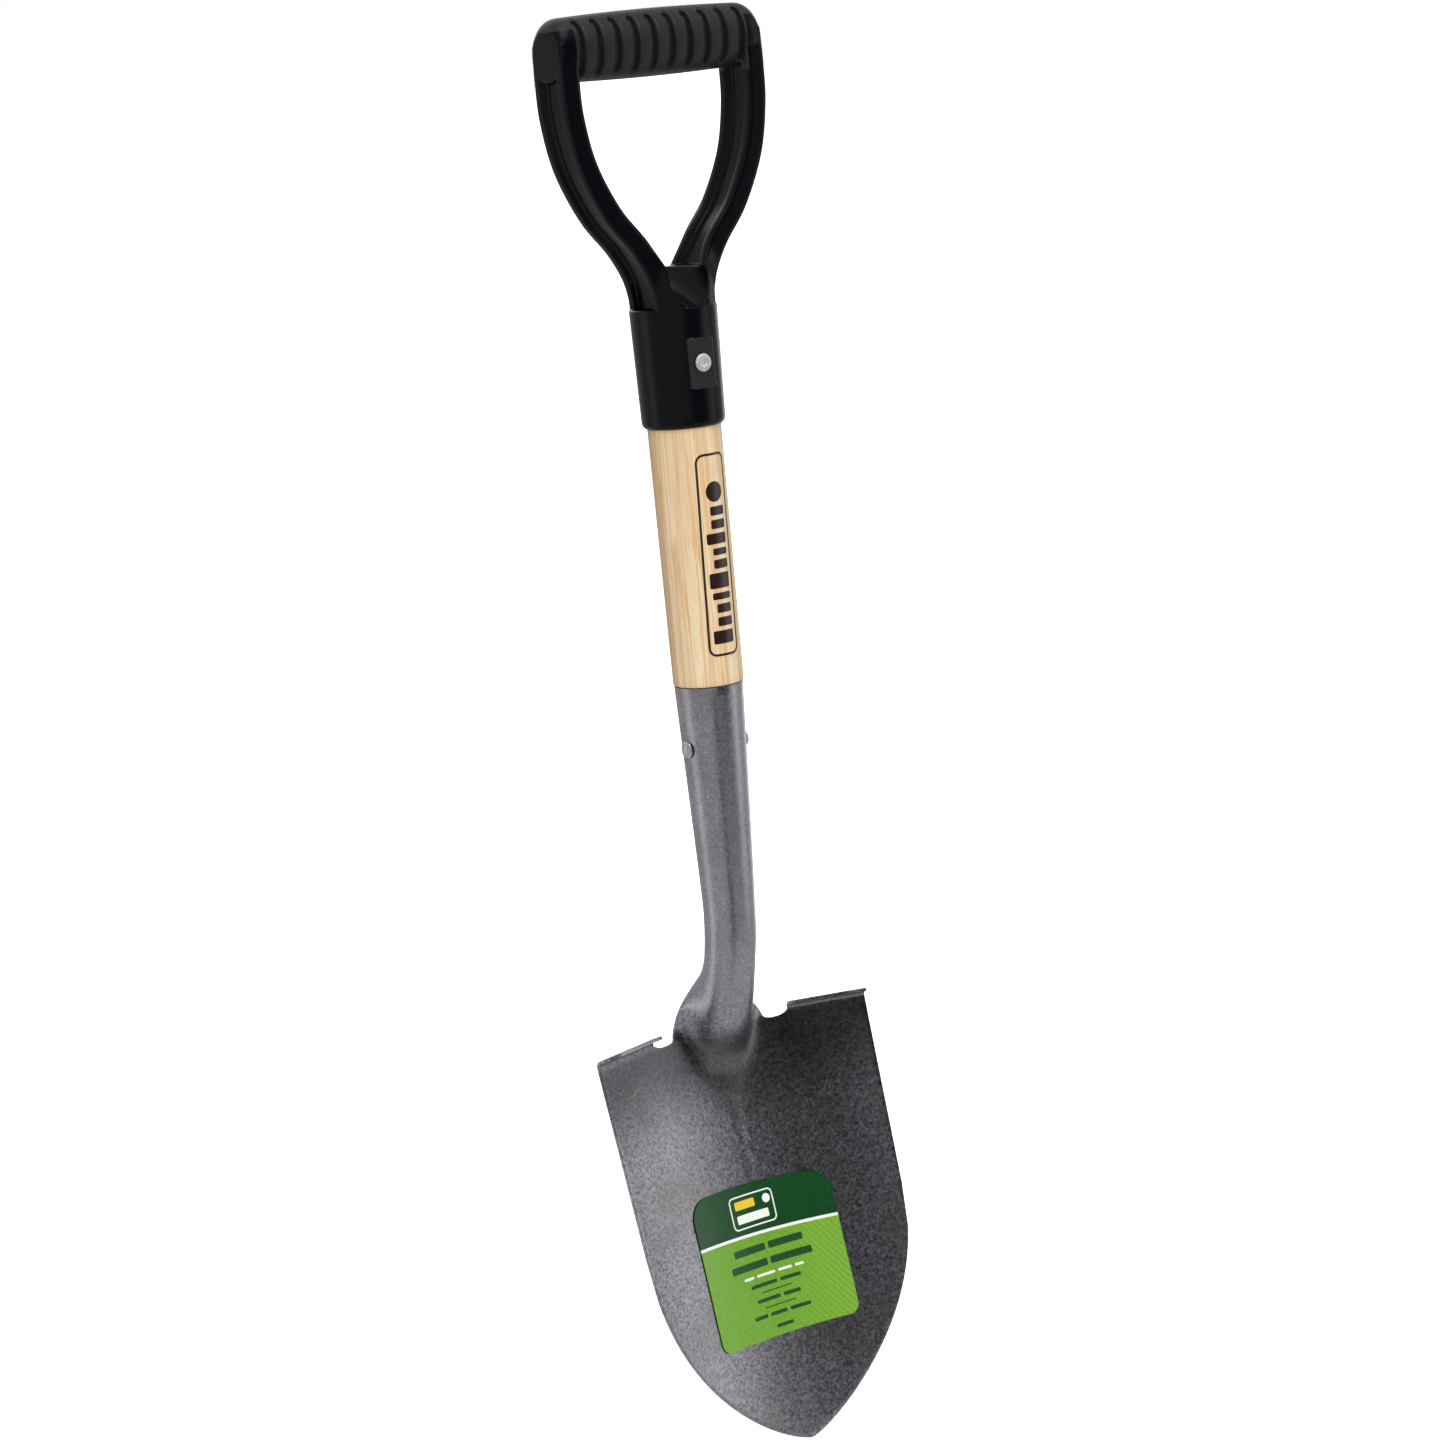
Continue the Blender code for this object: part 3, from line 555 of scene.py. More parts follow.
def ring_faces(rings: int, size: int, ends: RingEnds = RingEnds.CAPPED) -> list[Face]:
    """Faces that join closed rings of points.

    Args:
        rings: how many rings there are.
        size: points in each ring.
        ends: what happens to the first and last ring.

    Returns:
        The faces.
    """
    faces: list[Face] = []
    for r in range(rings if ends is RingEnds.JOINED else rings - 1):
        low, high = r * size, (r + 1) % rings * size
        for j in range(size):
            k = (j + 1) % size
            faces.append((low + j, low + k, high + k, high + j))
    if ends is RingEnds.CAPPED:
        faces.append(tuple(range(size)))
        faces.append(tuple((rings - 1) * size + j for j in reversed(range(size))))
    return faces


def ring_angles(segments: int, start: float = 0.0) -> list[float]:
    """Even angles round a ring, the first one a share of a step on."""
    return [2 * math.pi * (k + start) / segments for k in range(segments)]


def slab_faces(columns: int, rows: int) -> list[Face]:
    """Faces of a closed slab made of two equal grids, the lower one first.

    Args:
        columns: columns of points in each grid.
        rows: rows of points in each grid.

    Returns:
        The faces.
    """
    size = columns * rows
    faces: list[Face] = []
    for c in range(columns - 1):
        for r in range(rows - 1):
            a = c * rows + r
            quad = (a, a + 1, a + rows + 1, a + rows)
            faces.append(quad)
            faces.append(tuple(size + i for i in reversed(quad)))
    rim = [c * rows for c in range(columns)] + [(columns - 1) * rows + r for r in range(1, rows)]
    rim += [c * rows + rows - 1 for c in range(columns - 2, -1, -1)] + list(range(rows - 2, 0, -1))
    for a, b in zip(rim, rim[1:] + rim[:1]):
        faces.append((a, b, size + b, size + a))
    return faces


def turned(name: str, profile: Sequence[Pair], finish: Finish, segments: int,
           axis: Vector = Vector((0, 0, 1)), centre: Point = (0.0, 0.0, 0.0)) -> Piece:
    """Turn a profile that starts and ends on the axis.

    Args:
        name: the piece's name.
        profile: (radius, distance along the axis) points.
        finish: the piece's finish.
        segments: points round each ring.
        axis: the direction of the axis.
        centre: the axis's zero point, measured from the tip.

    Returns:
        The turned piece.
    """
    turn = axis.to_track_quat("Z", "Y")
    inner = profile[1:-1]
    points = []
    for radius, along in inner:
        for angle in ring_angles(segments):
            points.append(turn @ Vector((radius * math.cos(angle), radius * math.sin(angle), along)))
    faces = ring_faces(len(inner), segments, RingEnds.OPEN)
    for end, ring in ((profile[0], 0), (profile[-1], len(inner) - 1)):
        points.append(turn @ Vector((0.0, 0.0, end[1])))
        for k in range(segments):
            faces.append((ring * segments + k, ring * segments + (k + 1) % segments, len(points) - 1))
    return make_piece(name, [p + Vector(centre) for p in points], faces, (finish,))


def even_points(points: Sequence[Sequence[float]], count: int) -> tuple[np.ndarray, float]:
    """Space points evenly along a 2-D polyline.

    Args:
        points: the polyline.
        count: how many steps to make.

    Returns:
        The count + 1 points, and the polyline's length.
    """
    line = np.array(points)
    steps = np.hypot(*np.diff(line, axis=0).T)
    along = np.concatenate(([0.0], np.cumsum(steps)))
    wanted = np.linspace(0.0, along[-1], count + 1)
    return np.column_stack([np.interp(wanted, along, line[:, i]) for i in (0, 1)]), along[-1]


def spline(points: Sequence[Pair], count: int) -> np.ndarray:
    """Space points evenly on a Catmull-Rom curve.

    Args:
        points: the 2-D points that the curve passes.
        count: how many steps to make.

    Returns:
        The count + 1 points.
    """
    p = np.array(points)
    p = np.vstack([2 * p[0] - p[1], p, 2 * p[-1] - p[-2]])
    dense = []
    for i in range(1, len(p) - 2):
        a, b, c, d = p[i - 1:i + 3]
        for t in np.linspace(0, 1, 24, endpoint=False):
            dense.append(0.5 * (2 * b + (c - a) * t + (2 * a - 5 * b + 4 * c - d) * t * t
                                + (3 * b - a - 3 * c + d) * t ** 3))
    dense.append(p[-2])
    return even_points(dense, count)[0]


def boolean(target: Piece, other: Piece, operation: str) -> None:
    """Cut a piece with another or join the other to it, at once.

    Args:
        target: the piece that changes.
        other: the piece that cuts or joins, removed afterwards.
        operation: "UNION" or "DIFFERENCE".
    """
    modifier = target.modifiers.new("boolean", "BOOLEAN")
    modifier.operation = operation
    modifier.solver = "EXACT"
    modifier.object = other
    settle(target)
    bpy.data.objects.remove(other, do_unlink=True)


def rounded_outline(half_width: float, half_height: float, corner: float,
                    side_points: int) -> list[Pair]:
    """Points round a rounded rectangle.

    Args:
        half_width: half of its width.
        half_height: half of its height.
        corner: radius of its corners.
        side_points: points on each straight side.

    Returns:
        The points.
    """
    arcs = []
    for side_x, side_y, start in ((1, 1, 0), (-1, 1, 90), (-1, -1, 180), (1, -1, 270)):
        turns = [math.radians(start + 15 * k) for k in range(7)]
        arcs.append([(side_x * (half_width - corner) + corner * math.cos(a),
                      side_y * (half_height - corner) + corner * math.sin(a)) for a in turns])
    points = []
    for arc, after in zip(arcs, arcs[1:] + arcs[:1]):
        points += arc
        (x, y), (next_x, next_y) = arc[-1], after[0]
        for k in range(1, side_points + 1):
            share = k / (side_points + 1)
            points.append((x + (next_x - x) * share, y + (next_y - y) * share))
    return points


def printed_frame(name: str, surface: Surface, centre: Pair, size: Pair,
                  corner: float, line: float, lifts: Pair, finish: Finish) -> Piece:
    """Print the outline of a rounded rectangle on a surface.

    Args:
        name: the piece's name.
        surface: gives the point at (across, up, lift).
        centre: its middle, across and up.
        size: its width and height.
        corner: radius of its corners.
        line: width of the printed line.
        lifts: the ink's lower and upper face above the surface.
        finish: its finish.

    Returns:
        The frame.
    """
    half = (size[0] / 2, size[1] / 2)
    outer = rounded_outline(half[0], half[1], corner, 30)
    inner = rounded_outline(half[0] - line, half[1] - line, corner - line, 30)
    points = []
    for loop, lift in ((outer, lifts[0]), (outer, lifts[1]), (inner, lifts[1]), (inner, lifts[0])):
        points += [surface(centre[0] + u, centre[1] + v, lift) for u, v in loop]
    count = len(outer)
    return make_piece(name, points, ring_faces(4, count, RingEnds.JOINED), (finish,))


def printed_block(name: str, surface: Surface, centre: Pair, size: Pair,
                  lifts: Pair, finish: Finish, corner: float = 0.0006) -> Piece:
    """Print a plain block with rounded ends on a surface.

    Args:
        name: the piece's name.
        surface: gives the point at (across, up, lift).
        centre: its middle, across and up.
        size: its width and height.
        lifts: the ink's lower and upper face above the surface.
        finish: its finish.
        corner: radius of its corners.

    Returns:
        The block.
    """
    half, radius = size[0] / 2, min(size[1] / 2, corner)
    columns, rows = 21, 5
    points = []
    for lift in lifts:
        for t in np.linspace(-1.0, 1.0, columns):
            x = half * math.sin(t * math.pi / 2)
            inset = min(half - abs(x), radius)
            reach = size[1] / 2 - radius + math.sqrt(max(radius ** 2 - (radius - inset) ** 2, 0.0))
            for z in np.linspace(centre[1] - reach, centre[1] + reach, rows):
                points.append(surface(centre[0] + x, z, lift))
    return make_piece(name, points, slab_faces(columns, rows), (finish,))


# ---- blade --------------------------------------------------------------------------------------
@dataclass
class BladeSheet:
    """The pressed blade with its foot steps, neck and socket, one sheet from tip to mouth."""

    step_height: float = 0.1990
    step_half_width: float = 0.0789
    step_inner: float = 0.0402
    widest_height: float = 0.108
    widest_half_width: float = 0.0760
    blend: float = 0.012        # height over which the neck's bend is eased
    ridge_blend: float = 0.010  # the same for the ridge's bend
    ridge_run_out: float = 0.004
    ridge_narrowest: float = 0.15
    strip_narrowing: float = 0.035
    notch_squareness: float = 2.6
    lip_end_cut: float = 0.45   # share of the foot step's length lost at its outer end
    point_power: float = 2.1
    point_fullness: float = 0.74
    tip_depth: float = -0.0273
    rake: float = 0.25
    dish_radius: float = 0.195
    strip_half_width: float = 0.0264
    strip_height: float = 0.1985
    notch_centre: float = 0.0325
    notch_half_width: float = 0.0077
    notch_depth: float = 0.0022
    lip_length: float = 0.0080
    lip_angle: float = math.radians(85)
    lip_bend_radius: float = 0.0028
    lip_taper: float = 0.012
    straightening: float = 0.014
    neck_radius: float = 0.0125
    socket_top: float = 0.3719
    socket_radius: float = 0.0164
    neck_top: float = 0.262
    neck_bend: float = 0.250
    seam_opens: float = 0.238
    seam_half_angle: float = math.radians(8)
    seam_easing: float = 1.4
    ridge_half_width: float = 0.0255
    ridge_bend: float = 0.207
    ridge_dive: float = 0.46
    ridge_end: float = 0.160
    ridge_spread: float = 0.60  # under 1, the ridge keeps its width further down
    ridge_steepest: float = math.radians(72)
    crown_share: float = 0.50
    strip_columns: int = 26
    notch_columns: int = 14
    step_columns: int = 20
    near_share: float = 0.17    # top part of the blade whose rows lie closer
    near_rows: int = 34
    far_rows: int = 56
    neck_rows: int = 56
    socket_rows: int = 26
    rim_radius: float = 0.00035
    rim_angle: float = math.radians(55)
    press_passes: int = 84      # how far the press's creases are eased
    eased_below: float = 0.045  # how far below, above and beside the strip's foot this reaches
    eased_below_shrinks: float = 0.028
    eased_above: float = 0.006
    eased_above_step: float = 0.0045
    eased_foot: float = 0.002
    eased_foot_shrinks: float = 0.012
    eased_beside: float = 0.012
    eased_beside_shrinks: float = 0.006

    def half_width(self, z: float) -> float:
        """Half width of the blade's outline.

        Args:
            z: height above the tip.

        Returns:
            The half width.
        """
        if z >= self.widest_height:
            share = (z - self.widest_height) / (self.step_height - self.widest_height)
            return self.widest_half_width + (self.step_half_width - self.widest_half_width) * share
        down = 1.0 - max(z, 0.0) / self.widest_height
        return self.widest_half_width * max(1.0 - down ** self.point_power, 0.0) ** self.point_fullness

    def outline_height(self, share: float) -> float:
        """Height of the pointed outline at a share of the widest half width."""
        down = max(1.0 - share ** (1.0 / self.point_fullness), 0.0) ** (1.0 / self.point_power)
        return self.widest_height * (1.0 - down)

    def dish(self, x: float, z: float) -> float:
        """Y of the plain dish, which flattens towards the foot steps.

        Args:
            x: distance from the middle.
            z: height above the tip.

        Returns:
            Y of the middle of the sheet.
        """
        base = self.tip_depth + self.rake * z
        round_y = base - x * x / (2 * self.dish_radius)
        if abs(x) <= self.step_inner:
            return round_y
        inner_y = base - self.step_inner ** 2 / (2 * self.dish_radius)
        outer_y = base - self.step_half_width ** 2 / (2 * self.dish_radius)
        share = (abs(x) - self.step_inner) / (self.step_half_width - self.step_inner)
        straight_y = inner_y + (outer_y - inner_y) * share
        weight = smooth(1.0 - (self.step_height - z) / self.straightening)
        return round_y + (straight_y - round_y) * weight

    def front_line(self, z: float) -> float:
        """The sheet's line down the front of socket, neck and ridge.

        Args:
            z: height above the tip.

        Returns:
            Y of the middle of the sheet.
        """
        taper = max(z - self.neck_top, 0.0) / (self.socket_top - self.neck_top)
        radius = self.neck_radius + (self.socket_radius - self.neck_radius) * taper - SHEET / 2
        neck = self.rake * soft_positive(self.neck_bend - z, self.blend)
        return -radius + neck + self.ridge_dive * soft_positive(self.ridge_bend - z, self.ridge_blend)

    def ridge_y(self, x: float, z: float) -> float:
        """Y of the blade's middle strip: the dish with the ridge raised on it.

        Args:
            x: distance from the middle.
            z: height above the tip.

        Returns:
            Y of the middle of the sheet.
        """
        height = soft_positive(self.dish(0.0, z) - self.front_line(z), self.ridge_run_out)
        share = min(max((z - self.ridge_end) / (self.strip_height - self.ridge_end), 0.0), 1.0)
        half = self.ridge_half_width * max(share ** self.ridge_spread, self.ridge_narrowest)
        theta = min(self.ridge_steepest, 2 * math.atan(height / half))
        cot = math.cos(theta) / math.sin(theta)
        radii = (half - height * cot) / (math.sin(theta) - (1 - math.cos(theta)) * cot)
        crown, fillet = self.crown_share * radii, (1 - self.crown_share) * radii
        x = abs(x)
        if x <= crown * math.sin(theta):
            lift = crown - math.sqrt(crown * crown - x * x) - height
        elif x < half - fillet * math.sin(theta):
            lift = crown * (1 - math.cos(theta)) + (x - crown * math.sin(theta)) * math.tan(theta) - height
        elif x < half:
            lift = -fillet + math.sqrt(fillet * fillet - (half - x) ** 2)
        else:
            lift = 0.0
        return self.dish(x, z) + lift

    def strip_foot(self, count: int) -> tuple[np.ndarray, float]:
        """Half section of the ridge where the rolled strip starts, as even points and a length."""
        xs = np.linspace(0.0, self.strip_half_width, FINE_LINE)
        return even_points([(x, self.ridge_y(x, self.strip_height)) for x in xs], count)

    def strip_section(self, z: float, count: int) -> np.ndarray:
        """Half section of the rolled strip above the blade.

        Args:
            z: height above the tip.
            count: steps from the centre line to the edge.

        Returns:
            (x, y) points of the middle of the sheet.
        """
        dense = 160
        open_points, open_length = self.strip_foot(dense)
        steps = np.diff(open_points, axis=0)
        open_heading = np.arctan2(steps[:, 1], steps[:, 0])
        taper = min((self.socket_top - z) / (self.socket_top - self.neck_top), 1.0)
        radius = self.socket_radius + (self.neck_radius - self.socket_radius) * taper - SHEET / 2
        turn = math.pi - self.seam_half_angle
        round_heading = turn * (np.arange(dense) + 0.5) / dense
        reach = self.seam_opens - self.strip_height
        opening = (soft_positive(self.seam_opens - z, 0.001) / reach) ** self.seam_easing
        heading = (1 - opening) * round_heading + opening * open_heading
        step = ((1 - opening) * radius * turn + opening * open_length) / dense
        x = np.concatenate(([0.0], np.cumsum(np.cos(heading) * step)))
        y = self.front_line(z) + np.concatenate(([0.0], np.cumsum(np.sin(heading) * step)))
        return even_points(np.column_stack([x, y]), count)[0]

    def wing_top(self, x: float) -> float:
        """Height of the blade's top edge outside the middle strip.

        Args:
            x: distance from the middle.

        Returns:
            The height.
        """
        if x >= self.step_inner:
            return self.step_height
        share = min(abs(x - self.notch_centre) / self.notch_half_width, 1.0)
        return self.step_height - self.notch_depth * (1.0 - share ** self.notch_squareness)

    def lip(self, x: float, side: int, bend_rows: int, flat_rows: int) -> list[Vector]:
        """Points of the forward-turned foot step above one column.

        Args:
            x: the column's distance from the middle.
            side: -1 for the left step and 1 for the right one.
            bend_rows: rows round the bend.
            flat_rows: rows on the flat.

        Returns:
            The points from the bend to the free edge.
        """
        def edge_point(distance: float) -> Vector:
            """A point on the sheet's top edge."""
            return Vector((side * distance, self.dish(distance, self.step_height), self.step_height))

        inner, outer = edge_point(self.step_inner), edge_point(self.step_half_width)
        edge = (outer - inner).normalized() * side
        up = Vector((0.0, self.rake, 1.0)).normalized()
        up = (up - edge * up.dot(edge)).normalized()
        forward = up.cross(edge).normalized()
        if forward.y > 0:
            forward.negate()
        start = edge_point(x)
        points = []
        for k in range(1, bend_rows + 1):
            a = self.lip_angle * k / bend_rows
            points.append(start + self.lip_bend_radius * (math.sin(a) * up + (1 - math.cos(a)) * forward))
        direction = up * math.cos(self.lip_angle) + forward * math.sin(self.lip_angle)
        at_end = smooth((x - self.step_half_width + self.lip_taper) / self.lip_taper)
        length = (self.lip_length - self.lip_bend_radius) * (1.0 - self.lip_end_cut * at_end)
        for k in range(1, flat_rows + 1):
            points.append(points[bend_rows - 1] + direction * length * k / flat_rows)
        return points

    def heights(self) -> tuple[list[float], list[float]]:
        """Space the sheet's rows, closest where it bends.

        Returns:
            Shares of the blade's height from its top edge, and heights of the neck's rows.
        """
        near, split = self.near_share, [self.strip_height, self.neck_top, self.socket_top]
        shares = [*np.linspace(0.0, near, self.near_rows), *np.linspace(near, 1.0, self.far_rows)[1:]]
        neck = np.linspace(split[0], split[1], self.neck_rows)[1:]
        return shares, [*neck, *np.linspace(split[1], split[2], self.socket_rows)[1:]]

    def build(self) -> Piece:
        """Build the sheet on its middle surface and thicken it.

        Returns:
            The blade.
        """
        bend_rows, flat_rows = 7, 4
        strip = self.strip_columns
        notch = np.linspace(self.strip_half_width, self.step_inner, self.notch_columns + 1)[1:]
        step = np.linspace(self.step_inner, self.step_half_width, self.step_columns + 1)[1:]
        outer = list(notch) + list(step)
        total = strip + len(outer)
        columns = [(-1, j) for j in range(total, 0, -1)] + [(1, j) for j in range(total + 1)]
        strip_low = self.strip_foot(strip)[0]
        shares, neck = self.heights()
        index: dict[tuple[int, int], int] = {}
        points: list[Vector] = []

        def add(column: int, row: int, point: Vector) -> None:
            """Note a point of the grid."""
            index[column, row] = len(points)
            points.append(point)

        for c, (side, j) in enumerate(columns):
            top_x = float(strip_low[j][0]) if j <= strip else outer[j - strip - 1]
            top_z = self.strip_height if j <= strip else self.wing_top(top_x)
            share = top_x / self.step_half_width
            low_z = self.outline_height(share)
            for r, down in enumerate(shares):
                z = top_z + (low_z - top_z) * down
                if j <= strip:
                    x = top_x * (1.0 - self.strip_narrowing * down)
                    y = self.ridge_y(x, z)
                else:
                    x = share * self.half_width(max(z, self.widest_height))
                    y = self.dish(x, z)
                add(c, r, Vector((side * x, y, z)))
            if j > strip and top_x >= self.step_inner - 1e-6:
                for k, point in enumerate(self.lip(top_x, side, bend_rows, flat_rows)):
                    add(c, -1 - k, point)
        for r, z in enumerate(neck):
            section = self.strip_section(z, strip)
            for c, (side, j) in enumerate(columns):
                if j <= strip:
                    add(c, -1 - r, Vector((side * section[j][0], section[j][1], z)))
        faces: list[Face] = []
        for c in range(len(columns) - 1):
            for r in range(-len(neck), len(shares) - 1):
                corners = [(c, r), (c + 1, r), (c + 1, r + 1), (c, r + 1)]
                if all(corner in index for corner in corners):
                    faces.append(tuple(index[corner] for corner in corners))
        blade = make_piece("pressed_blade", points, faces, (STEEL,))
        self.relax(blade.data)
        thicken = blade.modifiers.new("sheet", "SOLIDIFY")
        thicken.thickness = SHEET
        thicken.offset = 0.0
        thicken.use_even_offset = True
        rim = blade.modifiers.new("rim", "BEVEL")
        rim.width = self.rim_radius
        rim.segments = 2
        rim.limit_method = "ANGLE"
        rim.angle_limit = self.rim_angle
        settle(blade, sharp=50.0)
        return declare(blade, "blade")

    def relax(self, mesh: Mesh) -> None:
        """Ease the press's creases where the ridge leaves the blade.

        Args:
            mesh: the middle surface.
        """
        work = bmesh.new()
        work.from_mesh(mesh)
        for k in range(self.press_passes):
            done = k / self.press_passes
            low = self.strip_height - self.eased_below + self.eased_below_shrinks * done
            neck_high = self.seam_opens + self.eased_above - self.eased_above_step * k
            high = max(neck_high, self.strip_height - self.eased_foot - self.eased_foot_shrinks * done)
            reach = self.strip_half_width + self.eased_beside - self.eased_beside_shrinks * done
            soft = [v for v in work.verts if not v.is_boundary and low < v.co.z + HANG_HEIGHT < high
                    and abs(v.co.x) < reach]
            bmesh.ops.smooth_vert(work, verts=soft, factor=0.5,
                                  use_axis_x=True, use_axis_y=True, use_axis_z=True)
        work.to_mesh(mesh)
        work.free()


# ---- handle -------------------------------------------------------------------------------------
@dataclass
class AshHandle:
    """The turned ash handle, tapered into the socket, and the print on it."""

    sheet: BladeSheet
    low_radius: float = 0.0168
    top_radius: float = 0.0174
    end: float = 0.545
    start: float = 0.284
    ferrule_bottom: float = 0.4944
    fit: float = 0.0006
    shoulder_gap: float = 0.0003
    shoulder_round: tuple[Pair, ...] = ((0.0008, 0.0), (0.0002, 0.0003), (0.0, 0.0010))    # in, up
    chamfer: float = 0.002
    print_width: float = 0.0176
    print_bottom: float = 0.3865
    print_top: float = 0.4820
    print_turn: float = math.radians(6)
    print_corner: float = 0.0042
    print_line: float = 0.0011
    print_lift: float = 0.00010
    print_margin: float = 0.0058
    print_gap: float = 2.1              # mm
    # length up the handle, width and sideways place of each block in millimetres
    print_blocks: tuple[Point, ...] = (
        (6.2, 11.4, 0.0), (4.2, 8.4, 1.4), (4.2, 8.4, 1.4), (3.2, 10.4, 0.5), (7.2, 11.4, 0.0),
        (4.2, 8.4, 1.4), (3.2, 8.4, 1.4), (5.0, 11.4, 0.0), (4.2, 8.4, 1.4), (4.2, 8.4, 1.4),
        (9.6, 9.6, 0.4))
    block_corner: float = 0.0008

    def radius(self, z: float) -> float:
        """Radius of the bare handle at a height."""
        share = (z - self.sheet.socket_top) / (self.ferrule_bottom - self.sheet.socket_top)
        return self.low_radius + (self.top_radius - self.low_radius) * min(max(share, 0.0), 1.0)

    def socket_bore(self, z: float) -> float:
        """Radius of the wood inside the socket.

        Args:
            z: height above the tip.

        Returns:
            The radius.
        """
        sheet = self.sheet
        share = (z - sheet.neck_top) / (sheet.socket_top - sheet.neck_top)
        return sheet.neck_radius + (sheet.socket_radius - sheet.neck_radius) * share - SHEET - self.fit

    def build(self) -> list[Piece]:
        """Build the handle and its print.

        Returns:
            The pieces.
        """
        shoulder = self.sheet.socket_top + self.shoulder_gap
        chamfer = self.chamfer
        profile = [(0.0, self.start), (self.socket_bore(self.start) - chamfer, self.start),
                   (self.socket_bore(self.start + chamfer), self.start + chamfer),
                   (self.socket_bore(self.sheet.socket_top), shoulder),
                   *((self.low_radius - inward, shoulder + up) for inward, up in self.shoulder_round)]
        heights = np.linspace(shoulder + 2 * chamfer, self.end - chamfer, 24)
        profile += [(self.radius(z), z) for z in heights]
        profile += [(self.top_radius - chamfer, self.end), (0.0, self.end)]
        wood = turned("ash_handle", profile, ASH, 96)
        return [declare(wood, "handle"), *self.build_print()]

    def surface(self, across: float, z: float, lift: float) -> Vector:
        """A point on the wood, where the print's middle turns to the right with height.

        Args:
            across: distance round the wood from the print's middle.
            z: height above the tip.
            lift: distance above the wood.

        Returns:
            The point.
        """
        turned_share = (z - self.print_bottom) / (self.print_top - self.print_bottom)
        angle = across / self.top_radius + self.print_turn * turned_share
        radius = self.radius(z) + lift
        return Vector((radius * math.sin(angle), -radius * math.cos(angle), z))

    def build_print(self) -> list[Piece]:
        """Build a plain frame with a row of blocks and a disc in it, a stand-in with no lettering.

        Returns:
            The print's pieces.
        """
        lifts = (self.print_lift / 3, self.print_lift)
        middle = (self.print_bottom + self.print_top) / 2
        height = self.print_top - self.print_bottom
        pieces = [printed_frame("print_frame", self.surface, (0.0, middle), (self.print_width, height),
                                self.print_corner, self.print_line, lifts, INK)]
        start = self.print_bottom + self.print_margin
        for k, (length, width, aside) in enumerate(self.print_blocks):
            centre = (aside * MILLIMETRE, start + length * MILLIMETRE / 2)
            size = (width * MILLIMETRE, length * MILLIMETRE)
            corner = min(size) / 2 if length == width else self.block_corner
            pieces.append(printed_block(f"print_block_{k}", self.surface, centre, size, lifts, INK, corner))
            start += (length + self.print_gap) * MILLIMETRE
        return [declare(piece, "handle_print") for piece in pieces]


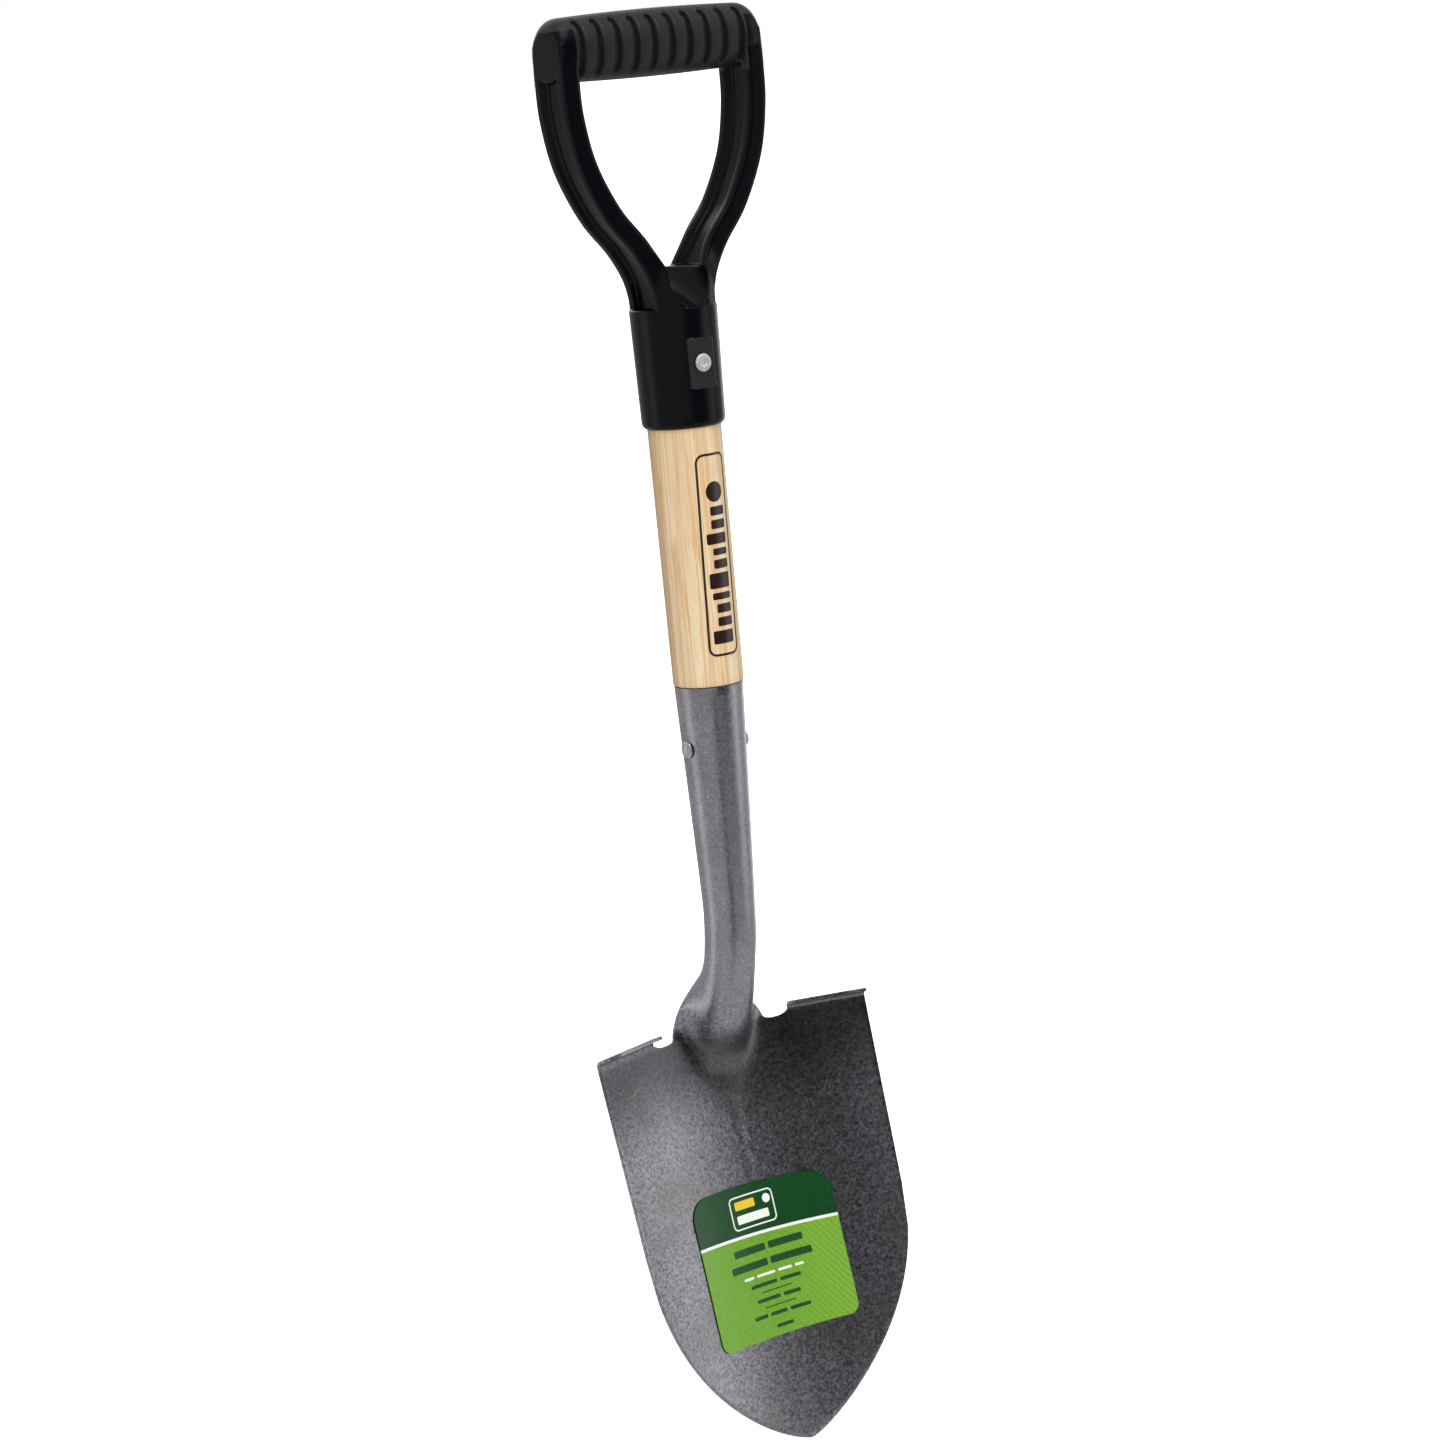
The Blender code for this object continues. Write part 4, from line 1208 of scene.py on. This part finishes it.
# ---- grip ---------------------------------------------------------------------------------------
@dataclass
class DGrip:
    """The moulded D-grip: ferrule, two channelled legs, hand bar and rivet pads."""

    wood_radius: float = 0.0174
    wood_end: float = 0.545
    clearance: float = 0.0003
    ferrule_bottom: float = 0.4944
    ferrule_top: float = 0.5505
    ferrule_low_radius: float = 0.0197
    ferrule_top_radius: float = 0.0206
    ferrule_rim: float = 0.0030     # radius of its lower lip
    ferrule_edge: float = 0.0006
    wood_chamfer: float = 0.0020
    leg_thickness: float = 0.0100
    leg_corner: float = 0.0016
    leg_slope: float = 0.0014       # how far the channel's wall leans
    leg_depth: float = 0.0250
    leg_recess: float = 0.0030
    leg_flange: float = 0.0050
    yoke_top: float = 0.5860
    scoop_radius: float = 0.0105
    scoop_height: float = 0.5708
    scoop_tilt: float = math.radians(25)
    crotch_inset: float = 0.0006
    # height and half width of the web between the legs' feet
    crotch_levels: tuple[Pair, ...] = (
        (0.5484, 0.0121), (0.5560, 0.0126), (0.5630, 0.0141), (0.5682, 0.0161))
    bar_height: float = 0.6717
    bar_half_length: float = 0.0561
    bar_half_height: float = 0.01548
    bar_half_depth: float = 0.0140
    bar_crown: float = 0.0013
    bar_fullness: float = 0.95
    bar_end_radius: float = 0.0074
    end_taper: float = 0.35
    bar_step: float = 0.0004
    bar_segments: int = 72
    groove_count: int = 10
    groove_pitch: float = 0.0098
    groove_half_width: float = 0.0022
    groove_depth: float = 0.0042
    groove_reach: float = 0.0140    # how far up and down from the bar's middle
    groove_fade: float = 0.0035
    groove_wall: float = 0.0010
    grain_below: float = 0.0008     # how far the bar's grain runs below it
    grain_half_length: float = 0.0471
    grain_top: float = 1.55         # half heights up the bar where the grain covers its whole length
    rivet_height: float = 0.5245
    rivet_hole: float = 0.0025
    pad_depth: float = 0.0204
    pad_root: float = 0.0184
    pad_width: float = 0.0140
    pad_height: float = 0.0240
    voxel: float = 0.0006
    leg_line: tuple[Pair, ...] = (
        (0.0110, 0.547), (0.0118, 0.556), (0.0148, 0.567), (0.0222, 0.580), (0.0349, 0.596),
        (0.0457, 0.618), (0.0504, 0.640), (0.0511, 0.658), (0.0506, 0.674))

    def yoke_depth(self, x: float, z: float) -> float:
        """Half depth of the grip: round like the ferrule at its foot, flat higher up.

        Args:
            x: distance from the middle.
            z: height above the tip.

        Returns:
            The half depth.
        """
        flat = self.leg_depth / 2
        round_depth = math.sqrt(max((self.ferrule_top_radius - 0.0002) ** 2 - x * x, flat * flat))
        share = smooth((z - self.ferrule_top) / (self.yoke_top - self.ferrule_top))
        return round_depth + (flat - round_depth) * share

    def leg_section(self) -> list[Pair]:
        """Outline across a leg, with a channel on both sides.

        Returns:
            (outward, depth) points.
        """
        half, deep, corner = self.leg_thickness / 2, self.leg_depth / 2, self.leg_corner
        arc = [(half - corner + corner * math.sin(a), deep - corner + corner * math.cos(a))
               for a in np.linspace(0, math.pi / 2, 5)]
        flange = deep - self.leg_flange
        slope = [(half, flange), (half - self.leg_recess, flange - self.leg_slope)]
        outer = arc + slope + [(p, -y) for p, y in reversed(arc + slope)]
        return outer + [(-p, y) for p, y in reversed(outer)]

    def build_leg(self, side: int) -> Piece:
        """Sweep one leg along its line.

        Args:
            side: -1 for the left leg and 1 for the right one.

        Returns:
            The leg.
        """
        line = spline(self.leg_line, 48)
        section = self.leg_section()
        points = []
        for (x, z), (dx, dz) in zip(line, np.gradient(line, axis=0)):
            size = math.hypot(dx, dz)
            for outward, depth in section:
                point_x, point_z = x + outward * dz / size, z - outward * dx / size
                deeper = self.yoke_depth(point_x, point_z) - self.leg_depth / 2
                points.append((side * point_x, depth + math.copysign(deeper, depth), point_z))
        return make_piece("leg", points, ring_faces(len(line), len(section)))

    def bar_section(self, x: float, segments: int) -> list[Point]:
        """One cross-section of the crowned, grooved hand bar.

        Args:
            x: the section's place along the bar.
            segments: points round the section.

        Returns:
            The section's points.
        """
        crown = self.bar_crown * (x / self.bar_half_length) ** 2
        into_end = max(abs(x) - self.bar_half_length + self.bar_end_radius, 0.0)
        drop = self.bar_end_radius - math.sqrt(max(self.bar_end_radius ** 2 - into_end ** 2, 0.0))
        top = self.bar_height + self.bar_half_height - crown - drop
        bottom = self.bar_height - self.bar_half_height + crown
        middle, half_height = (top + bottom) / 2, (top - bottom) / 2
        half_depth = self.bar_half_depth - 0.5 * crown - self.end_taper * drop
        nearest = round(x / self.groove_pitch - 0.5) + 0.5
        nearest = min(max(nearest, 0.5 - self.groove_count / 2), self.groove_count / 2 - 0.5)
        off = abs(x - nearest * self.groove_pitch)
        points = []
        for angle in ring_angles(segments, 0.5):
            cosine, sine = math.cos(angle), math.sin(angle)
            y = half_depth * math.copysign(abs(cosine) ** self.bar_fullness, cosine)
            z = half_height * math.copysign(abs(sine) ** self.bar_fullness, sine)
            closing = smooth((self.groove_reach - abs(z)) / self.groove_fade)
            width = self.groove_half_width * (0.35 + 0.65 * closing)
            cut = smooth((width - off) / self.groove_wall) * closing
            y -= math.copysign(self.groove_depth * cut, y)
            points.append((x, y, middle + z))
        return points

    def build_bar(self) -> Piece:
        """Build the hand bar with its finger grooves.

        Returns:
            The bar.
        """
        half = self.bar_half_length
        round_end = np.linspace(0.0, math.pi / 2, 9)
        ends = [half - self.bar_end_radius * (1 - math.cos(a)) for a in round_end]
        inner = list(np.arange(-ends[-1], ends[-1], self.bar_step))
        stations = [-x for x in ends] + inner[1:] + list(reversed(ends))
        points = [point for x in stations for point in self.bar_section(x, self.bar_segments)]
        return make_piece("bar", points, ring_faces(len(stations), self.bar_segments))

    def build_crotch(self) -> Piece:
        """Build the web between the feet of the legs.

        Returns:
            The web.
        """
        columns, inset = 24, self.crotch_inset
        points = []
        for z, half in self.crotch_levels:
            xs = np.linspace(-half, half, columns)
            points += [(x, inset - self.yoke_depth(x, z), z) for x in xs]
            points += [(x, self.yoke_depth(x, z) - inset, z) for x in reversed(xs)]
        return make_piece("crotch", points, ring_faces(len(self.crotch_levels), 2 * columns))

    def build_ferrule(self) -> Piece:
        """Turn the ferrule with its blind bore for the wood.

        Returns:
            The ferrule.
        """
        bore = self.wood_radius + self.clearance
        low, top, floor = self.ferrule_bottom, self.ferrule_top, self.wood_end + self.clearance
        wide, rim, edge = self.ferrule_top_radius, self.ferrule_rim, self.ferrule_edge
        curl = [(self.ferrule_low_radius - rim + rim * math.cos(a), low + rim - rim * math.sin(a))
                for a in np.linspace(0.0, math.pi / 2, 7)]
        profile = [(0.0, top), (wide - edge, top), (wide, top - edge), *curl, (bore, low),
                   (bore, floor - self.wood_chamfer), (bore - self.wood_chamfer, floor), (0.0, floor)]
        return turned("grip_moulding", profile, GLOSSY_BLACK, 112)

    def build(self) -> list[Piece]:
        """Join the grip's shapes, cut its scoop and rivet hole, and round it like a moulding.

        Returns:
            The grip's pieces.
        """
        grip = self.build_ferrule()
        for part in (self.build_leg(-1), self.build_leg(1), self.build_bar(), self.build_crotch()):
            boolean(grip, part, "UNION")
        for radius, tilt, height, half, segments in (
                (self.scoop_radius, self.scoop_tilt, self.scoop_height, 0.04, 72),
                (self.rivet_hole, 0.0, self.rivet_height, 0.03, 32)):
            profile = [(0.0, -half), (radius, -half), (radius, half), (0.0, half)]
            along = Vector((0.0, math.cos(tilt), math.sin(tilt)))
            rod = turned("rod", profile, GLOSSY_BLACK, segments, along, (0.0, 0.0, height))
            boolean(grip, rod, "DIFFERENCE")
        remesh = grip.modifiers.new("mould", "REMESH")
        remesh.mode = "VOXEL"
        remesh.voxel_size = self.voxel
        fillets = grip.modifiers.new("fillets", "SMOOTH")
        fillets.factor = 0.5
        fillets.iterations = 4
        settle(grip, sharp=180.0)
        self.dress(grip.data)
        return [declare(piece, "d_grip") for piece in (grip, *self.build_pads())]

    def dress(self, mesh: Mesh) -> None:
        """Give the hand bar the grained finish and leave the rest polished.

        Args:
            mesh: the finished moulding.
        """
        mesh.materials.clear()
        mesh.materials.append(GLOSSY_BLACK.material())
        mesh.materials.append(GRAINED_BLACK.material())
        lowest = self.bar_height - self.bar_half_height - HANG_HEIGHT
        for face in mesh.polygons:
            centre = face.center
            on_bar = centre.z > lowest - self.grain_below and abs(centre.x) < self.grain_half_length
            on_top = centre.z > lowest + self.grain_top * self.bar_half_height
            face.material_index = 1 if on_bar or on_top else 0

    def build_pads(self) -> list[Piece]:
        """Build the raised flat panels round the rivet, front and back.

        Returns:
            The two pads.
        """
        pads = []
        half_width, half_height, bevel = self.pad_width / 2, self.pad_height / 2, 0.0005
        segments = 40
        for name, side in (("rivet_pad_front", -1), ("rivet_pad_back", 1)):
            points = []
            for y, inset in ((self.pad_root, 0.0), (self.pad_depth - bevel, 0.0), (self.pad_depth, bevel),
                             (self.pad_depth, half_width), (self.pad_root, half_width)):
                for angle in ring_angles(segments, 0.5):
                    cosine, sine = math.cos(angle), math.sin(angle)
                    if inset > 2 * bevel:
                        x, z = self.rivet_hole * cosine, self.rivet_hole * sine
                    else:
                        reach = max(abs(cosine) / (half_width - inset), abs(sine) / (half_height - inset))
                        x, z = cosine / reach, sine / reach
                    points.append((x, side * y, self.rivet_height + z))
            faces = ring_faces(5, segments, RingEnds.JOINED)
            pads.append(make_piece(name, points, faces, (GRAINED_BLACK,), sharp=30.0))
        return pads


# ---- rivets -------------------------------------------------------------------------------------
@dataclass
class Rivets:
    """The zinc plated rivet with its washer through the grip, and the bare one through the socket."""

    grip: DGrip
    handle: AshHandle
    shank: float = 0.0022
    washer_radius: float = 0.0050
    washer_thickness: float = 0.0010
    washer_edge: float = 0.0002
    segments: int = 48
    socket_rivet_height: float = 0.3420
    # (radius, height) points of the rivets' ends, from the axis outwards or back to it
    dimpled_head: tuple[Pair, ...] = (
        (0.0, 0.0005), (0.0010, 0.0005), (0.0014, 0.0007), (0.0018, 0.0011), (0.0023, 0.0013),
        (0.0029, 0.0013), (0.0035, 0.0011), (0.0040, 0.0008), (0.0043, 0.0004), (0.0043, 0.0001),
        (0.0041, 0.0))
    clenched_tail: tuple[Pair, ...] = (
        (0.0034, 0.0), (0.0037, 0.0003), (0.0036, 0.0008), (0.0031, 0.0013), (0.0025, 0.0014),
        (0.0019, 0.0010), (0.0015, 0.0004), (0.0, 0.0004))
    low_head: tuple[Pair, ...] = (
        (0.0, 0.0023), (0.0011, 0.0022), (0.0021, 0.0019), (0.0030, 0.0014), (0.0037, 0.0008),
        (0.0041, 0.0003), (0.0041, 0.0))
    full_tail: tuple[Pair, ...] = (
        (0.0038, 0.0), (0.0041, 0.0004), (0.0040, 0.0012), (0.0035, 0.0020), (0.0026, 0.0026),
        (0.0014, 0.0028), (0.0, 0.0029))

    def build_grip_rivet(self) -> Piece:
        """Build the rivet that crosses the ferrule, with its hollow clenched tail at the back.

        Returns:
            The rivet.
        """
        seat = self.grip.pad_depth + self.grip.clearance
        tail = seat + self.washer_thickness + self.grip.clearance
        profile = [(r, seat + h) for r, h in self.dimpled_head] + [(self.shank, seat), (self.shank, -tail)]
        profile += [(r, -tail - h) for r, h in self.clenched_tail]
        centre = (0.0, 0.0, self.grip.rivet_height)
        rivet = turned("zinc_rivet", profile, ZINC, self.segments, Vector((0.0, -1.0, 0.0)), centre)
        return declare(rivet, "grip_rivet")

    def build_washer(self) -> Piece:
        """Build the washer under the clenched tail.

        Returns:
            The washer.
        """
        seat = self.grip.pad_depth + self.grip.clearance
        inner, rim, soft = self.grip.rivet_hole, self.washer_radius, self.washer_edge
        top = seat + self.washer_thickness
        ring = [(inner, seat), (rim - soft, seat), (rim, seat + soft), (rim, top - soft),
                (rim - soft, top), (inner + soft, top), (inner, top - soft)]
        middle = self.grip.rivet_height
        points = [(radius * math.cos(angle), y, middle + radius * math.sin(angle))
                  for radius, y in ring for angle in ring_angles(self.segments)]
        faces = ring_faces(len(ring), self.segments, RingEnds.JOINED)
        washer = make_piece("rivet_washer", points, faces, (ZINC,))
        return declare(washer, "grip_rivet_washer")

    def build_socket_rivet(self) -> Piece:
        """Build the rivet that crosses the socket, with a low head on the left and a fuller tail.

        Returns:
            The rivet.
        """
        z, gap = self.socket_rivet_height, self.grip.clearance
        outer = self.handle.socket_bore(z) + self.handle.fit + SHEET + gap
        profile = [(r, -outer - h) for r, h in self.low_head] + [(self.shank, -outer), (self.shank, outer)]
        profile += [(r, outer + h) for r, h in self.full_tail]
        across = Vector((1.0, 0.0, 0.0))
        rivet = turned("cross_rivet", profile, BARE_RIVET, self.segments, across, (0.0, 0.0, z))
        return declare(rivet, "socket_rivet")

    def build(self) -> list[Piece]:
        """Build all three pieces."""
        return [self.build_grip_rivet(), self.build_washer(), self.build_socket_rivet()]


# ---- label --------------------------------------------------------------------------------------
# name, middle's x, height, the blocks' height, their widths in millimetres, and their finish
LabelRow = tuple[str, float, float, float, tuple[int, ...], Finish]


@dataclass
class BladeLabel:
    """The label on the blade: a dark header, a white rule, a light field and plain blocks."""

    sheet: BladeSheet
    half_width: float = 0.0410
    bottom: float = 0.0508
    top: float = 0.1236
    arch: float = 0.0016
    skew: float = 0.0012        # how far its upper edge falls to the right
    top_corner: float = 0.0100
    low_corner: float = 0.0055
    rule_low: float = 0.0990
    rule_high: float = 0.1004
    gap: float = 0.0004
    film: float = 0.00022
    ink: float = 0.00005
    word_space: float = 0.0019
    badge_centre: Pair = (-0.0045, 0.1112)
    badge_size: Pair = (0.0262, 0.0158)
    badge_corner: float = 0.0026
    badge_line: float = 0.0007
    dot_centre: Pair = (0.0046, 0.1146)
    dot_size: float = 0.0044
    badge_rows: tuple[LabelRow, ...] = (
        ("label_mark_high", -0.0085, 0.1146, 0.0040, (12,), LABEL_YELLOW),
        ("label_mark_low", -0.0050, 0.1080, 0.0040, (19,), LABEL_WHITE))
    rows: tuple[LabelRow, ...] = (
        ("label_title", -0.0008, 0.0930, 0.0034, (19, 20), LABEL_DARK),
        ("label_title_low", -0.0008, 0.0858, 0.0034, (22, 24), LABEL_DARK),
        ("label_note", -0.0008, 0.0803, 0.0012, (6, 11, 8, 5), LABEL_WHITE),
        ("label_line_a", -0.0008, 0.0759, 0.0017, (16, 12), LABEL_DARK),
        ("label_rule_a", -0.0008, 0.0723, 0.0005, (18,), LABEL_DARK),
        ("label_line_b", -0.0008, 0.0687, 0.0017, (14, 10), LABEL_DARK),
        ("label_rule_b", -0.0008, 0.0650, 0.0005, (18,), LABEL_DARK),
        ("label_line_c", -0.0008, 0.0613, 0.0017, (8, 10, 12), LABEL_DARK),
        ("label_line_d", -0.0008, 0.0552, 0.0016, (10,), LABEL_DARK))

    def place(self, x: float, z: float, lift: float) -> Vector:
        """A point on or above the blade's front face."""
        normal = Vector((-x / self.sheet.dish_radius, -1.0, self.sheet.rake)).normalized()
        return Vector((x, self.sheet.dish(x, z), z)) + normal * (SHEET / 2 + lift)

    def lifts(self) -> Pair:
        """The ink's lower and upper face above the blade."""
        return self.gap + self.film + self.ink / 2, self.gap + self.film + 1.5 * self.ink

    def corner(self, x: float, radius: float) -> float:
        """Height that a rounded corner takes away at a distance from the middle."""
        inset = min(self.half_width - abs(x), radius)
        return radius - math.sqrt(max(radius ** 2 - (radius - inset) ** 2, 0.0))

    def low_edge(self, x: float) -> float:
        """The label's lower edge."""
        return self.bottom + self.corner(x, self.low_corner)

    def high_edge(self, x: float) -> float:
        """The label's arched upper edge."""
        share = x / self.half_width
        return self.top - self.arch * share ** 2 - self.skew * share - self.corner(x, self.top_corner)

    def rule(self, x: float, height: float) -> float:
        """Height of the rule's edge, which falls a little to the right."""
        return height - 0.8 * self.skew * x / self.half_width

    def band(self, name: str, low: Callable[[float], float], high: Callable[[float], float],
             finish: Finish) -> Piece:
        """One band of the film across the label.

        Args:
            name: the piece's name.
            low: its lower edge as a height for each x.
            high: its upper edge.
            finish: its finish.

        Returns:
            The band.
        """
        columns, rows = 73, 14
        points = []
        for lift in (self.gap, self.gap + self.film):
            for t in np.linspace(-1.0, 1.0, columns):
                x = self.half_width * math.sin(t * math.pi / 2)
                for z in np.linspace(low(x), high(x), rows):
                    points.append(self.place(x, z, lift))
        return make_piece(name, points, slab_faces(columns, rows), (finish,))

    def print_rows(self, rows: Sequence[LabelRow]) -> list[Piece]:
        """Print rows of blocks that stand where lines of words would be.

        Args:
            rows: the rows.

        Returns:
            The blocks.
        """
        blocks = []
        for name, middle, height, size, lengths, finish in rows:
            widths = [length * MILLIMETRE for length in lengths]
            start = middle - (sum(widths) + self.word_space * (len(widths) - 1)) / 2
            for k, width in enumerate(widths):
                centre = (start + width / 2, height)
                blocks.append(printed_block(f"{name}_{k}", self.place, centre, (width, size),
                                            self.lifts(), finish))
                start += width + self.word_space
        return blocks

    def build(self) -> list[Piece]:
        """Build the label's bands and blocks.

        Returns:
            The pieces.
        """
        def low_rule(x: float) -> float:
            """The rule's lower edge."""
            return self.rule(x, self.rule_low)

        def high_rule(x: float) -> float:
            """The rule's upper edge."""
            return self.rule(x, self.rule_high)

        pieces = [self.band("label_header", high_rule, self.high_edge, HEADER_GREEN),
                  self.band("label_rule", low_rule, high_rule, LABEL_WHITE),
                  self.band("label_field", self.low_edge, low_rule, FIELD_GREEN)]
        dot = self.dot_size
        pieces.append(printed_frame("label_badge", self.place, self.badge_centre, self.badge_size,
                                    self.badge_corner, self.badge_line, self.lifts(), LABEL_WHITE))
        pieces += self.print_rows(self.badge_rows)
        pieces.append(printed_block("label_mark_dot", self.place, self.dot_centre, (dot, dot),
                                    self.lifts(), LABEL_WHITE, dot / 2))
        pieces += self.print_rows(self.rows)
        return [declare(piece, "blade_label") for piece in pieces]


# ---- studio -------------------------------------------------------------------------------------
@dataclass(frozen=True)
class SoftBox:
    """A soft light that faces the shovel."""

    name: str
    azimuth: float          # degrees round from the front towards +X
    elevation: float
    distance: float
    size: Pair
    power: float
    aim: float = -0.32      # height that it faces

    def build(self) -> Piece:
        """Hang the light and turn it to the shovel.

        Returns:
            The light.
        """
        light = bpy.data.lights.new(self.name, "AREA")
        light.shape = "RECTANGLE"
        light.size, light.size_y = self.size
        light.energy = self.power
        lamp = bpy.data.objects.new(self.name, light)
        a, e = math.radians(self.azimuth), math.radians(self.elevation)
        away = Vector((math.sin(a) * math.cos(e), -math.cos(a) * math.cos(e), math.sin(e)))
        lamp.location = Vector((0.0, 0.0, self.aim)) + away * self.distance
        lamp.rotation_euler = (-away).to_track_quat("-Z", "Y").to_euler()
        bpy.context.scene.collection.objects.link(lamp)
        return lamp


@dataclass(frozen=True)
class StudioPaper(Finish):
    """Matte seamless paper lit evenly to its far end, which gives the eye a plain pale ground."""

    name: str = "seamless_paper_matte"
    colour: str = "#F2F2F1"
    own_light: float = 0.80         # stands for the lamps that light the far paper

    def dress(self, tree: Tree, shader: Node, where: Socket) -> None:
        """Plain pale and fully rough.

        Args:
            tree: the material's node tree.
            shader: its Principled shader.
            where: object coordinates in metres.
        """
        fill_node(tree, shader, {
            "Base Color": linear(self.colour), "Roughness": 1.0, "Specular IOR Level": 0.0,
            "Emission Color": linear("#FFFFFF"), "Emission Strength": self.own_light}, {})


@dataclass(frozen=True)
class BlackFlag:
    """A black card that only gloss and metal show, as a dark band."""

    name: str
    azimuth: float          # degrees round from the front towards +X
    distance: float
    width: float
    low: float              # heights of its edges above the blade's tip
    high: float

    def build(self) -> Piece:
        """Stand the card upright, facing the shovel.

        Returns:
            The card.
        """
        a = math.radians(self.azimuth)
        across = Vector((math.cos(a), math.sin(a), 0.0)) * self.width / 2
        away = Vector((math.sin(a), -math.cos(a), 0.0)) * self.distance
        low, high = Vector((0.0, 0.0, self.low)), Vector((0.0, 0.0, self.high))
        corners = [away - across + low, away + across + low, away + across + high, away - across + high]
        paper = StudioPaper("black_card_matte", "#0C0C0C", 0.0)
        card = make_piece(self.name, corners, [(0, 1, 2, 3)], (paper,))
        card.visible_camera = False
        card.visible_diffuse = False
        card.visible_shadow = False
        card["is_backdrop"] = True
        return card


@dataclass
class Studio:
    """The floor, the light round the shovel and the camera."""

    floor_half: float = 60.0
    floor_gap: float = 0.0005
    surround: str = "#A9A9AC"
    ground: str = "#BEBEC0"
    ground_from: float = -0.10      # sines of the angles below the horizon where it starts and is full
    ground_full: float = -0.62
    backdrop: str = "#FFFFFF"
    fill_strength: float = 2.0
    fill_angle: float = math.radians(50)
    fill_direction: Point = (0.35, 0.75, -0.60)
    camera_azimuth: float = 33.9
    camera_elevation: float = 10.52
    camera_roll: float = -5.43
    camera_distance: float = 1.7488
    camera_lens: float = 91.93      # mm
    camera_sensor: float = 36.0     # mm
    camera_reach: float = 200.0
    aim_height: float = 0.343
    aim_right: float = 0.00369
    aim_up: float = 0.01016
    boxes: tuple[SoftBox, ...] = (
        SoftBox("right_softbox", 56.0, 10.0, 1.8, (0.60, 1.9), 2.5),
        SoftBox("side_softbox", 118.0, 12.0, 1.8, (0.6, 2.2), 4.0),
        SoftBox("top_softbox", -14.0, 64.0, 1.5, (1.0, 0.8), 5.0, -0.2),
        SoftBox("left_softbox", -118.0, 5.0, 1.9, (0.7, 2.2), 3.2),
        SoftBox("back_softbox", 165.0, 35.0, 2.0, (1.4, 1.4), 8.0))
    flags: tuple[BlackFlag, ...] = (
        BlackFlag("high_flag", 15.0, 1.2, 1.00, 0.00, 1.50),
        BlackFlag("low_flag", -20.0, 1.2, 0.32, -0.60, 0.26))

    def build_floor(self) -> Piece:
        """Lay the floor just under the blade's tip.

        Returns:
            The floor.
        """
        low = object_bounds()[0].z - self.floor_gap + HANG_HEIGHT
        half = self.floor_half
        corners = [(-half, -half, low), (half, -half, low), (half, half, low), (-half, half, low)]
        floor = make_piece("floor", corners, [(0, 1, 2, 3)], (StudioPaper(),))
        floor.visible_glossy = False
        floor.visible_diffuse = False
        floor.visible_shadow = False
        floor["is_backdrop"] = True
        return floor

    def build_world(self) -> None:
        """Fill the room with dim light and a paler ground, behind a backdrop that looks white."""
        world = bpy.data.worlds.new("studio")
        world.use_nodes = True
        tree = world.node_tree
        room = tree.nodes["Background"]
        where = add_node(tree, "ShaderNodeTexCoord")
        height = add_node(tree, "ShaderNodeSeparateXYZ", {}, {0: where.outputs["Generated"]})
        below = add_node(tree, "ShaderNodeMapRange", {
            "From Min": self.ground_from, "From Max": self.ground_full,
            "interpolation_type": "SMOOTHSTEP"}, {"Value": height.outputs["Z"]})
        shade = add_node(tree, "ShaderNodeMix", {
            "data_type": "RGBA", 6: linear(self.surround), 7: linear(self.ground)}, {0: below})
        tree.links.new(shade.outputs[2], room.inputs["Color"])
        white = add_node(tree, "ShaderNodeBackground", {"Color": linear(self.backdrop)})
        path = add_node(tree, "ShaderNodeLightPath")
        mix = add_node(tree, "ShaderNodeMixShader", {}, {
            0: path.outputs["Is Camera Ray"], 1: room.outputs[0], 2: white.outputs[0]})
        tree.links.new(mix.outputs[0], tree.nodes["World Output"].inputs["Surface"])
        bpy.context.scene.world = world
        bpy.context.scene.view_settings.view_transform = "Standard"

    def build_fill(self) -> Piece:
        """Hang the broad fill, which only matte surfaces show.

        Returns:
            The light.
        """
        light = bpy.data.lights.new("fill", "SUN")
        light.energy, light.angle = self.fill_strength, self.fill_angle
        lamp = bpy.data.objects.new("fill", light)
        lamp.rotation_euler = Vector(self.fill_direction).to_track_quat("-Z", "Y").to_euler()
        lamp.visible_glossy = False
        bpy.context.scene.collection.objects.link(lamp)
        return lamp

    def build_camera(self) -> Piece:
        """Set the camera in front and to the left, a little above, with its slight roll.

        Returns:
            The camera.
        """
        turns = (self.camera_azimuth, self.camera_elevation, self.camera_roll)
        a, e, roll = (math.radians(turn) for turn in turns)
        ahead = Vector((math.sin(a) * math.cos(e), math.cos(a) * math.cos(e), -math.sin(e)))
        right = Vector((math.cos(a), -math.sin(a), 0.0))
        up = right.cross(ahead)
        aim = Vector((0.0, 0.0, self.aim_height - HANG_HEIGHT)) + self.aim_right * right + self.aim_up * up
        rolled_right = right * math.cos(roll) + up * math.sin(roll)
        rolled_up = up * math.cos(roll) - right * math.sin(roll)
        place = Matrix((rolled_right, rolled_up, -ahead)).transposed().to_4x4()
        place.translation = aim - ahead * self.camera_distance
        lens = bpy.data.cameras.new("camera")
        lens.lens, lens.sensor_width = self.camera_lens, self.camera_sensor
        lens.clip_end = self.camera_reach
        camera = bpy.data.objects.new("camera", lens)
        camera.matrix_world = place
        bpy.context.scene.collection.objects.link(camera)
        bpy.context.scene.camera = camera
        return camera

    def build(self) -> None:
        """Build the studio."""
        self.build_camera()
        self.build_world()
        self.build_floor()
        self.build_fill()
        for stand in self.boxes + self.flags:
            stand.build()


def main() -> None:
    logging.basicConfig(level=logging.INFO, format="%(name)s %(message)s")
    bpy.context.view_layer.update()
    sheet = BladeSheet()
    handle = AshHandle(sheet)
    grip = DGrip()
    sheet.build()
    handle.build()
    grip.build()
    Rivets(grip, handle).build()
    BladeLabel(sheet).build()
    Studio().build()


if __name__ == "__main__":
    main()
